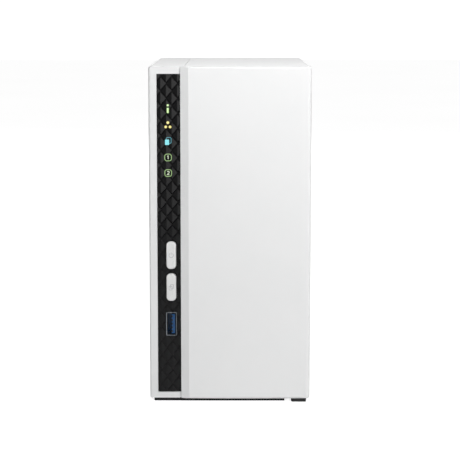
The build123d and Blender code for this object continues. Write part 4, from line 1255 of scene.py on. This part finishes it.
@dataclass
class BoardDetail:
    """Fine parts of a circuit board that stands across X: tracks, chip parts, legs and print."""

    face: float
    side: float
    y: Pair
    z: Pair
    taken: tuple[tuple[float, float, float, float], ...]
    seed: int

    def free(self, y: Array, z: Array, gap: float) -> Array:
        """Which places are on the board and clear of its large parts.

        Args:
            y: places along Y.
            z: places along Z.
            gap: room kept round each large part.

        Returns:
            True for each free place.
        """
        boxes = np.array(self.taken)
        dy = np.abs(y[:, None] - boxes[:, 0]) - boxes[:, 2] / 2 - gap
        dz = np.abs(z[:, None] - boxes[:, 1]) - boxes[:, 3] / 2 - gap
        inside = (y > self.y[0] + 2) & (y < self.y[1] - 2) & (z > self.z[0] + 2) & (z < self.z[1] - 2)
        return inside & ~((dy < 0) & (dz < 0)).any(axis=1)

    def level(self, height: Pair) -> Pair:
        """Span along X from two heights over the board's face."""
        low, high = sorted((self.face + self.side * height[0], self.face + self.side * height[1]))
        return (low, high)

    def chip_parts(self, count: int) -> list[Layer]:
        """Small two-ended parts on a grid of 3 mm, at seeded places: a body and two tinned ends.

        Args:
            count: how many places are tried.

        Returns:
            Bodies of two kinds and the ends.
        """
        source = np.random.default_rng(self.seed)
        y = self.y[0] + 3 * source.integers(1, int((self.y[1] - self.y[0]) / 3), count)
        z = self.z[0] + 3 * source.integers(1, int((self.z[1] - self.z[0]) / 3), count)
        places = np.unique(np.stack([y, z], axis=-1)[self.free(y, z, 1.4)], axis=0)
        offsets = np.concatenate([np.zeros((len(places), 1)), places], axis=1)
        body = bar((0.0, 0.0), (0.8, 0.9), self.level((0.03, 0.62)), Axis.X, 0.05, 0.06, 1)
        end = bar((0.0, 0.0), (0.86, 0.3), self.level((0.0, 0.66)), Axis.X, 0.05, 0.06, 1)
        ends = joined([end.at(np.array([(0, 0, dz)])) for dz in (-0.6, 0.6)])
        half = len(offsets) // 2
        return [
            Layer(body.at(offsets[:half]), CERAMIC_TAN),
            Layer(body.at(offsets[half:]), CHIP_EPOXY),
            Layer(ends.at(offsets), TIN),
        ]

    def legs(self, chips: Sequence[tuple[float, float, float, float]]) -> Shell:
        """Gull-wing legs 0.8 mm apart along the sides of each chip that face up and down.

        Args:
            chips: middle and size of each chip, as y, z, size along y, size along z.

        Returns:
            The shell.
        """
        out = np.array([0.0, 0.35, 0.75, 1.3])
        height = np.array([0.55, 0.5, 0.1, 0.1])
        parts = []
        for y, z, wide, high in chips:
            count = max(int((wide - 1.2) / 0.8), 2)
            along = y + 0.8 * (np.arange(count) - (count - 1) / 2)
            for sign in (-1, 1):
                path = np.stack(
                    [self.face + self.side * height, np.zeros(4), z + sign * (high / 2 - 0.1 + out)], axis=-1
                )
                leg = tube(path, 0.17, 4)
                parts.append(leg.at(np.stack([0 * along, along, 0 * along], axis=-1)))
        return joined(parts)

    def tracks(self, buses: Sequence[tuple[Sequence[Pair], int]]) -> Shell:
        """Parallel tracks 0.75 mm apart along each bus.

        Args:
            buses: corners of the bus as y and z, and its number of tracks.

        Returns:
            Open sheets just over the board.
        """
        level = self.face + self.side * 0.03
        sheets = []
        for corners, count in buses:
            for k in range(count):
                path = offset_path(np.array(corners, float), 0.75 * (k - (count - 1) / 2))
                sheets.append(sheet(placed(stroke(path, 0.32, 2), level, Axis.X)))
        return joined(sheets)

    def outlines(self, boxes: Sequence[tuple[float, float, float, float]]) -> Shell:
        """Printed frames round large parts."""
        level = self.face + self.side * 0.05
        frames = [
            stroke(rounded((y, z), (wide + 3.4, high + 3.4), 0.5, 3), 0.22, 2, loop=True)
            for y, z, wide, high in boxes
        ]
        return joined([sheet(placed(grid, level, Axis.X)) for grid in frames])


@dataclass
class Mainboard:
    """The board against the left wall, with its chips, sink, memory, coils, cans and clock cell."""

    face: float = -35.85
    chips: tuple[tuple[float, float, float, float], ...] = (
        (26.0, 72.0, 9.0, 9.0),
        (-30.0, 60.0, 12.0, 12.0),
        (-52.0, 30.0, 6.0, 6.0),
        (-20.0, 34.0, 9.0, 9.0),
        (42.0, 37.0, 6.0, 6.0),
        (-44.0, 140.0, 8.0, 8.0),
        (6.0, 74.0, 14.0, 9.0),
        (20.0, 154.0, 8.0, 5.0),
    )
    others: tuple[tuple[float, float, float, float], ...] = (
        (14.0, 112.0, 42.0, 42.0),
        (48.0, 109.0, 23.0, 33.0),
        (-34.0, 108.0, 25.0, 25.0),
        (-20.0, 11.5, 56.0, 9.0),
        (67.0, 64.0, 24.0, 18.0),
        (70.0, 34.0, 16.0, 12.0),
        (70.0, 98.0, 16.0, 38.0),
        (44.5, 69.5, 11.0, 9.0),
        (70.0, 130.0, 10.0, 10.0),
        (-67.0, 147.0, 8.0, 46.0),
        (-66.0, 84.0, 12.0, 10.0),
        (-66.0, 65.0, 12.0, 10.0),
        (-68.0, 44.4, 18.0, 16.0),
        (34.0, 46.0, 9.0, 9.0),
        (34.0, 56.0, 9.0, 9.0),
        (24.0, 46.0, 9.0, 9.0),
        (52.0, 46.0, 9.0, 9.0),
        (-6.0, 46.0, 9.0, 9.0),
        (50.0, 29.0, 8.0, 18.0),
        (24.0, 34.0, 8.0, 8.0),
        (34.0, 30.0, 8.0, 8.0),
        (12.0, 56.0, 8.0, 8.0),
        (-14.0, 150.0, 8.0, 8.0),
        (-60.0, 20.0, 8.0, 8.0),
        (-60.0, 168.0, 8.0, 8.0),
        (62.0, 166.0, 8.0, 8.0),
        (40.0, 15.0, 8.0, 8.0),
    )
    buses: tuple[tuple[tuple[Pair, ...], int], ...] = (
        (((34.5, 118.0), (37.0, 118.0)), 12),
        (((34.5, 100.0), (37.0, 100.0)), 10),
        (((8.0, 91.0), (8.0, 79.5)), 8),
        (((13.5, 73.0), (20.5, 73.0)), 6),
        (((31.0, 71.0), (36.0, 66.0), (54.0, 66.0)), 6),
        (((0.0, 91.5), (-8.0, 83.5), (-8.0, 66.0), (-12.0, 62.0), (-23.0, 62.0)), 7),
        (((-37.0, 60.0), (-48.0, 60.0), (-56.0, 52.0)), 4),
        (((-20.0, 29.0), (-20.0, 17.0)), 7),
        (((-36.5, 58.0), (-42.0, 52.5), (-42.0, 18.0)), 5),
        (((20.0, 134.0), (20.0, 151.0)), 5),
        (((-8.0, 120.0), (-16.0, 128.0), (-30.0, 128.0), (-38.0, 136.0)), 5),
        (((-48.5, 140.0), (-60.0, 140.0)), 6),
        (((-9.0, 114.0), (-14.0, 120.0), (-18.0, 120.0)), 3),
        (((34.0, 126.0), (40.0, 132.0), (60.0, 132.0)), 4),
        (((-52.0, 34.0), (-52.0, 76.0), (-58.0, 82.0)), 3),
    )

    def build(self) -> None:
        """Dress the board's parts and add its tracks, legs, small parts and print."""
        dress(GREEN_MASK, "mainboard", "carrier_board")
        dress(SCREW_ZINC, "mainboard_screws")
        dress(SINK_ALUMINIUM, "heatsink")
        dress(CHIP_EPOXY, "memory_chips", "board_chips")
        dress(FERRITE, "inductors")
        dress(CAN_ALUMINIUM, "capacitors")
        dress(CELL_STEEL, "coin_cell")
        dress(BLACK_NYLON, "coin_cell_holder", "board_link", "sata_sockets")
        detail = BoardDetail(self.face, 1.0, (-69.0, 75.2), (7.0, 178.0), self.chips + self.others, 7)
        make_piece("mainboard_tracks", [Layer(detail.tracks(self.buses), TRACK_GREEN)], facing=(1, 0, 0))
        frames = Layer(detail.outlines(self.chips), SILK_WHITE)
        make_piece("mainboard_print", [frames], facing=(1, 0, 0))
        make_piece("mainboard_parts", detail.chip_parts(420))
        make_piece("mainboard_legs", [Layer(detail.legs(self.chips), TIN)])
        make_piece("capacitor_tops", self.can_tops())

    def can_tops(self) -> list[Layer]:
        """Dark sleeves round the capacitor cans, which leave the vented tops bare.

        Returns:
            One sleeve layer for all the cans.
        """
        centres = ((50.0, 24.0), (50.0, 34.5), (24.0, 34.0), (34.0, 30.0), (12.0, 56.0), (-14.0, 150.0))
        low, high = self.face + 1.2, self.face + 7.72
        profile = [(3.17, low), (3.3, low + 0.15), (3.3, high - 0.2), (3.17, high), (2.5, high + 0.02)]
        sleeve = turned(profile, (0.0, 0.0), Axis.X, 20)
        offsets = np.array([(0, y, z) for y, z in centres])
        band = Layer(sleeve.at(offsets), SLEEVE_BLUE)
        cap = turned([(2.45, high - 0.1), (2.45, high + 0.08), (2.2, high + 0.14)], (0.0, 0.0), Axis.X, 20)
        return [band, Layer(cap.at(offsets), CAN_ALUMINIUM)]


@dataclass
class Drive:
    """One upright disk drive: case, lid with label and screws, disks, head arms and its own board."""

    number: int
    board_face: float
    lid_face: float
    screws: tuple[Pair, ...] = (
        (-62.5, 160.5),
        (29.0, 160.5),
        (-62.5, 96.0),
        (29.0, 96.0),
        (-62.5, 31.5),
        (29.0, 31.5),
    )
    rule_start: float = -50.0

    def node(self, part: str) -> str:
        """Name of one of the drive's CAD nodes."""
        return f"drive_{self.number}_{part}"

    def lid_screws(self) -> Shell:
        """Six flat-headed screws with star recesses: a domed rim round a sunk middle.

        Returns:
            The shell.
        """
        face = self.lid_face
        rim = [(2.5, face - 0.3), (2.5, face + 0.25), (2.2, face + 0.5)]
        recess = [(1.15, face + 0.5), (1.0, face + 0.1)]
        screw = turned(rim + recess, (0.0, 0.0), Axis.X, 12)
        return screw.at(np.array([(0, y, z) for y, z in self.screws]))

    def label(self) -> list[Layer]:
        """A plain paper label with one printed band and grey rules, without text.

        Returns:
            Open sheets on the lid's sunk panel.
        """
        level = self.lid_face - 0.33
        paper = filled(rounded((-16.7, 60.5), (76.0, 50.0), 2.0), 2)
        band = filled(rounded((-16.7, 80.5), (76.0, 8.0), 1.0), 2)
        rules = [
            stroke(spread([(self.rule_start, z), (self.rule_start + length, z)], 2), 1.2, 2)
            for z, length in self.rule_lengths()
        ]
        return [
            Layer(sheet(placed(paper, level, Axis.X)), LABEL_PAPER),
            Layer(sheet(placed(band, level + 0.02, Axis.X)), LABEL_BAND),
            Layer(joined([sheet(placed(rule, level + 0.02, Axis.X)) for rule in rules]), PRINT_GREY),
        ]

    def rule_lengths(self) -> tuple[Pair, ...]:
        """Height and length of each grey rule on the label."""
        return ((70.0, 48.0), (66.0, 36.0), (62.0, 42.0), (50.0, 60.0), (46.0, 60.0), (42.0, 30.0))

    def build(self) -> None:
        """Dress the drive's parts, and add the lid's label and screws and the board's parts."""
        dress(CAST_CASE, self.node("case"))
        dress(LID_STEEL, self.node("lid"))
        dress(DISK_MIRROR, self.node("platters"))
        dress(ARM_ALUMINIUM, self.node("heads"))
        dress(BLUE_MASK, self.node("board"))
        dress(BLACK_NYLON, self.node("connector"))
        make_piece(self.node("label"), self.label(), facing=(1, 0, 0))
        make_piece(self.node("lid_screws"), [Layer(self.lid_screws(), SCREW_ZINC)])
        chips = ((-20.0, 60.0, 11.0, 11.0), (6.0, 70.0, 8.0, 8.0), (-44.0, 74.0, 7.0, 5.0))
        detail = BoardDetail(self.board_face, -1.0, (-62.0, 28.0), (28.5, 92.0), chips, 20 + self.number)
        packages = joined(
            [
                bar((y, z), (wide, high), detail.level((0.1, 1.0)), Axis.X, 0.1, 0.12, 2)
                for y, z, wide, high in chips
            ]
        )
        parts = [Layer(packages, CHIP_EPOXY), Layer(detail.legs(chips), TIN), *detail.chip_parts(110)]
        make_piece(self.node("board_parts"), parts)
        buses = (
            (((-14.0, 60.0), (-4.0, 66.0), (2.0, 69.0)), 5),
            (((-26.0, 62.0), (-36.0, 72.0), (-40.0, 74.0)), 4),
            (((-20.0, 53.5), (-20.0, 34.0)), 6),
        )
        make_piece(self.node("board_tracks"), [Layer(detail.tracks(buses), TRACK_BLUE)], facing=(-1, 0, 0))


@dataclass
class Storage:
    """The folded cage, its screws, and the two drives in it."""

    drives: tuple[Drive, ...] = (Drive(1, -15.4, 10.7), Drive(2, 13.1, 39.2))

    def build(self) -> None:
        """Dress the cage and its screws, and build both drives."""
        dress(CASE_ZINC, "drive_cage")
        dress(SCREW_ZINC, "cage_screws")
        dress(BLACK_OXIDE, "drive_screws")
        for drive in self.drives:
            drive.build()


@dataclass
class Cooling:
    """The fan behind the drives, and its lead of three wires."""

    route: tuple[Triple, ...] = (
        (-18.5, 56.0, 106.0),
        (-25.0, 56.0, 105.0),
        (-29.8, 54.0, 100.0),
        (-32.35, 50.0, 92.0),
        (-32.35, 46.0, 82.0),
        (-32.35, 44.5, 73.0),
    )
    wire_radius: float = 0.42
    lay_radius: float = 0.5
    lay_length: float = 16.0

    def smooth_route(self) -> Array:
        """Points along the route's NURBS curve.

        Returns:
            Rows of x, y, z in millimetres.
        """
        curve = bpy.data.curves.new("fan_lead_route", "CURVE")
        curve.dimensions = "3D"
        curve.resolution_u = 12
        spline = curve.splines.new("NURBS")
        spline.points.add(len(self.route) - 1)
        spline.points.foreach_set("co", np.array([(*p, 1.0) for p in self.route], np.float32).ravel())
        spline.order_u = 3
        spline.use_endpoint_u = True
        carrier = bpy.data.objects.new("fan_lead_route", curve)
        bpy.context.scene.collection.objects.link(carrier)
        graph = bpy.context.evaluated_depsgraph_get()
        mesh = bpy.data.meshes.new_from_object(carrier.evaluated_get(graph), depsgraph=graph)
        points = np.empty(len(mesh.vertices) * 3, np.float32)
        mesh.vertices.foreach_get("co", points)
        bpy.data.objects.remove(carrier)
        bpy.data.curves.remove(curve)
        bpy.data.meshes.remove(mesh)
        return points.reshape(-1, 3).astype(float)

    def wires(self) -> list[Layer]:
        """Three wires laid round the route: route(u) + r (cos t side + sin t up), t growing with length.

        Returns:
            One layer for each wire.
        """
        path = self.smooth_route()
        along = np.gradient(path, axis=0)
        along /= np.linalg.norm(along, axis=1, keepdims=True)
        side = np.cross(along, (0.0, 1.0, 0.0))
        side /= np.linalg.norm(side, axis=1, keepdims=True)
        up = np.cross(along, side)
        steps = np.linalg.norm(np.diff(path, axis=0), axis=1)
        length = np.concatenate([[0], np.cumsum(steps)])
        layers = []
        for k, finish in enumerate((WIRE_BLACK, WIRE_RED, WIRE_YELLOW)):
            turn = (length / self.lay_length + k / 3)[:, None] * 2 * np.pi
            wire = path + self.lay_radius * (np.cos(turn) * side + np.sin(turn) * up)
            layers.append(Layer(tube(wire, self.wire_radius, 10), finish))
        return layers

    def build(self) -> None:
        """Dress the fan and build its lead."""
        dress(BLACK_NYLON, "fan_frame", "fan_rotor")
        dress(COPPER, "fan_stator")
        dress(MAGNET, "fan_magnet")
        dress(GROUND_STEEL, "fan_shaft")
        dress(BLACK_OXIDE, "fan_screws")
        dress(CREAM_NYLON, "fan_plug")
        lead = make_piece("fan_wires", self.wires())
        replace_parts(lead, "fan_lead")


# ---------------------------------------------------------------- studio


@dataclass(frozen=True)
class BacklitPaper(Finish):
    """White paper lit from behind: it throws glow on the object, and seen_glow more is seen on it."""

    seen_glow: float = 0.5

    def mixed(self) -> bpy.types.Material:
        """Build the paper, with the part of its glow that is only seen.

        Returns:
            The new material.
        """
        material = super().mixed()
        tree = material.node_tree
        shader = next(node for node in tree.nodes if node.type == "BSDF_PRINCIPLED")
        seen = add_node(tree, "ShaderNodeLightPath").outputs["Is Camera Ray"]
        strength = add_node(
            tree, "ShaderNodeMapRange", inputs={0: seen, 3: self.glow, 4: self.glow + self.seen_glow}
        ).outputs[0]
        tree.links.new(strength, shader.inputs["Emission Strength"])
        return material


@dataclass(frozen=True)
class SoftBox:
    """An upright or square soft light that looks at a point."""

    name: str
    place: Triple
    size: Pair
    watts: float
    target: Triple = (0.0, 0.0, 100.0)

    def hang(self) -> None:
        """Add the light, hidden from the camera itself."""
        lamp = bpy.data.lights.new(self.name, "AREA")
        lamp.shape = "RECTANGLE"
        lamp.size = self.size[0] * MM
        lamp.size_y = self.size[1] * MM
        lamp.energy = self.watts
        light = bpy.data.objects.new(self.name, lamp)
        light.location = Vector(self.place) * MM
        direction = Vector(self.target) - Vector(self.place)
        light.rotation_euler = direction.to_track_quat("-Z", "Y").to_euler()
        light.visible_camera = False
        bpy.context.scene.collection.objects.link(light)


@dataclass
class Studio:
    """Pale floor, soft lights, bright surround and the camera."""

    camera_place: Triple = (0.0, -969.3, 220.6)
    camera_down_deg: float = 7.822
    lens_mm: float = 126.57
    surround_light: float = 0.20
    floor_glow: float = 0.15
    floor_seen_glow: float = 1.15
    lights: tuple[SoftBox, ...] = (
        SoftBox("key_light", (640.0, -1300.0, 520.0), (420.0, 1500.0), 6.3),
        SoftBox("front_light", (70.0, -350.0, 470.0), (300.0, 300.0), 1.5, (0.0, -78.0, 170.0)),
        SoftBox("top_light", (100.0, 100.0, 1500.0), (900.0, 900.0), 0.5),
        SoftBox("left_fill", (-1500.0, 900.0, 600.0), (900.0, 900.0), 1.8),
        SoftBox("right_fill", (1500.0, -200.0, 600.0), (900.0, 900.0), 3.6),
        SoftBox("back_fill", (200.0, 1600.0, 800.0), (1100.0, 1100.0), 4.4),
    )

    def floor(self) -> None:
        """A wide pale floor: a flat grid point(u, v) = (u, v, 0)."""
        line = np.linspace(-6000, 6000, 9)
        x, y = np.meshgrid(line, line, indexing="ij")
        mesh = bpy.data.meshes.new("floor")
        shell = sheet(np.stack([x, y, 0 * x], axis=-1))
        mesh.from_pydata((shell.points * MM).tolist(), [], shell.blocks[0].tolist())
        turn_towards(mesh, (0, 0, 1))
        paper = BacklitPaper(
            "Backlit white paper",
            "#D4D4D4",
            "#D1D1D1",
            (0.6, 0.7),
            glow=self.floor_glow,
            cloud_mm=400.0,
            grain_mm=30.0,
            seen_glow=self.floor_seen_glow,
        )
        mesh.materials.append(paper.material())
        floor = bpy.data.objects.new("floor", mesh)
        bpy.context.scene.collection.objects.link(floor)

    def surround(self) -> None:
        """A white surround that lights everything softly."""
        world = bpy.data.worlds.new("surround")
        world.use_nodes = True
        tree = world.node_tree
        tree.nodes.clear()
        seen = add_node(tree, "ShaderNodeLightPath").outputs["Is Camera Ray"]
        strength = add_node(
            tree, "ShaderNodeMapRange", inputs={0: seen, 3: self.surround_light, 4: 1.1}
        ).outputs[0]
        sky = add_node(tree, "ShaderNodeBackground", inputs={0: linear("#FFFFFF"), 1: strength})
        add_node(tree, "ShaderNodeOutputWorld", inputs={0: sky.outputs[0]})
        bpy.context.scene.world = world

    def camera(self) -> None:
        """Set the camera in front, a little above, looking slightly down."""
        data = bpy.data.cameras.new("camera")
        data.lens = self.lens_mm
        data.sensor_width = 36.0
        data.clip_start = 0.01
        data.clip_end = 50.0
        camera = bpy.data.objects.new("camera", data)
        camera.location = Vector(self.camera_place) * MM
        camera.rotation_euler = (math.radians(90 - self.camera_down_deg), 0.0, 0.0)
        bpy.context.scene.collection.objects.link(camera)
        bpy.context.scene.camera = camera

    def build(self) -> None:
        """Set up the floor, the surround, the lights and the camera."""
        self.camera()
        self.floor()
        self.surround()
        for light in self.lights:
            light.hang()
        bpy.context.scene.view_settings.view_transform = "Standard"


def main() -> None:
    """Build the studio and every sub-assembly, in order."""
    logging.basicConfig(level=logging.INFO, format="%(message)s")
    builders: Sequence[Callable[[], None]] = (
        Studio().build,
        Casing().build,
        DisplayColumn().build,
        Controls().build,
        Sockets().build,
        Mainboard().build,
        Storage().build,
        Cooling().build,
    )
    for build in builders:
        build()


if __name__ == "__main__":
    main()
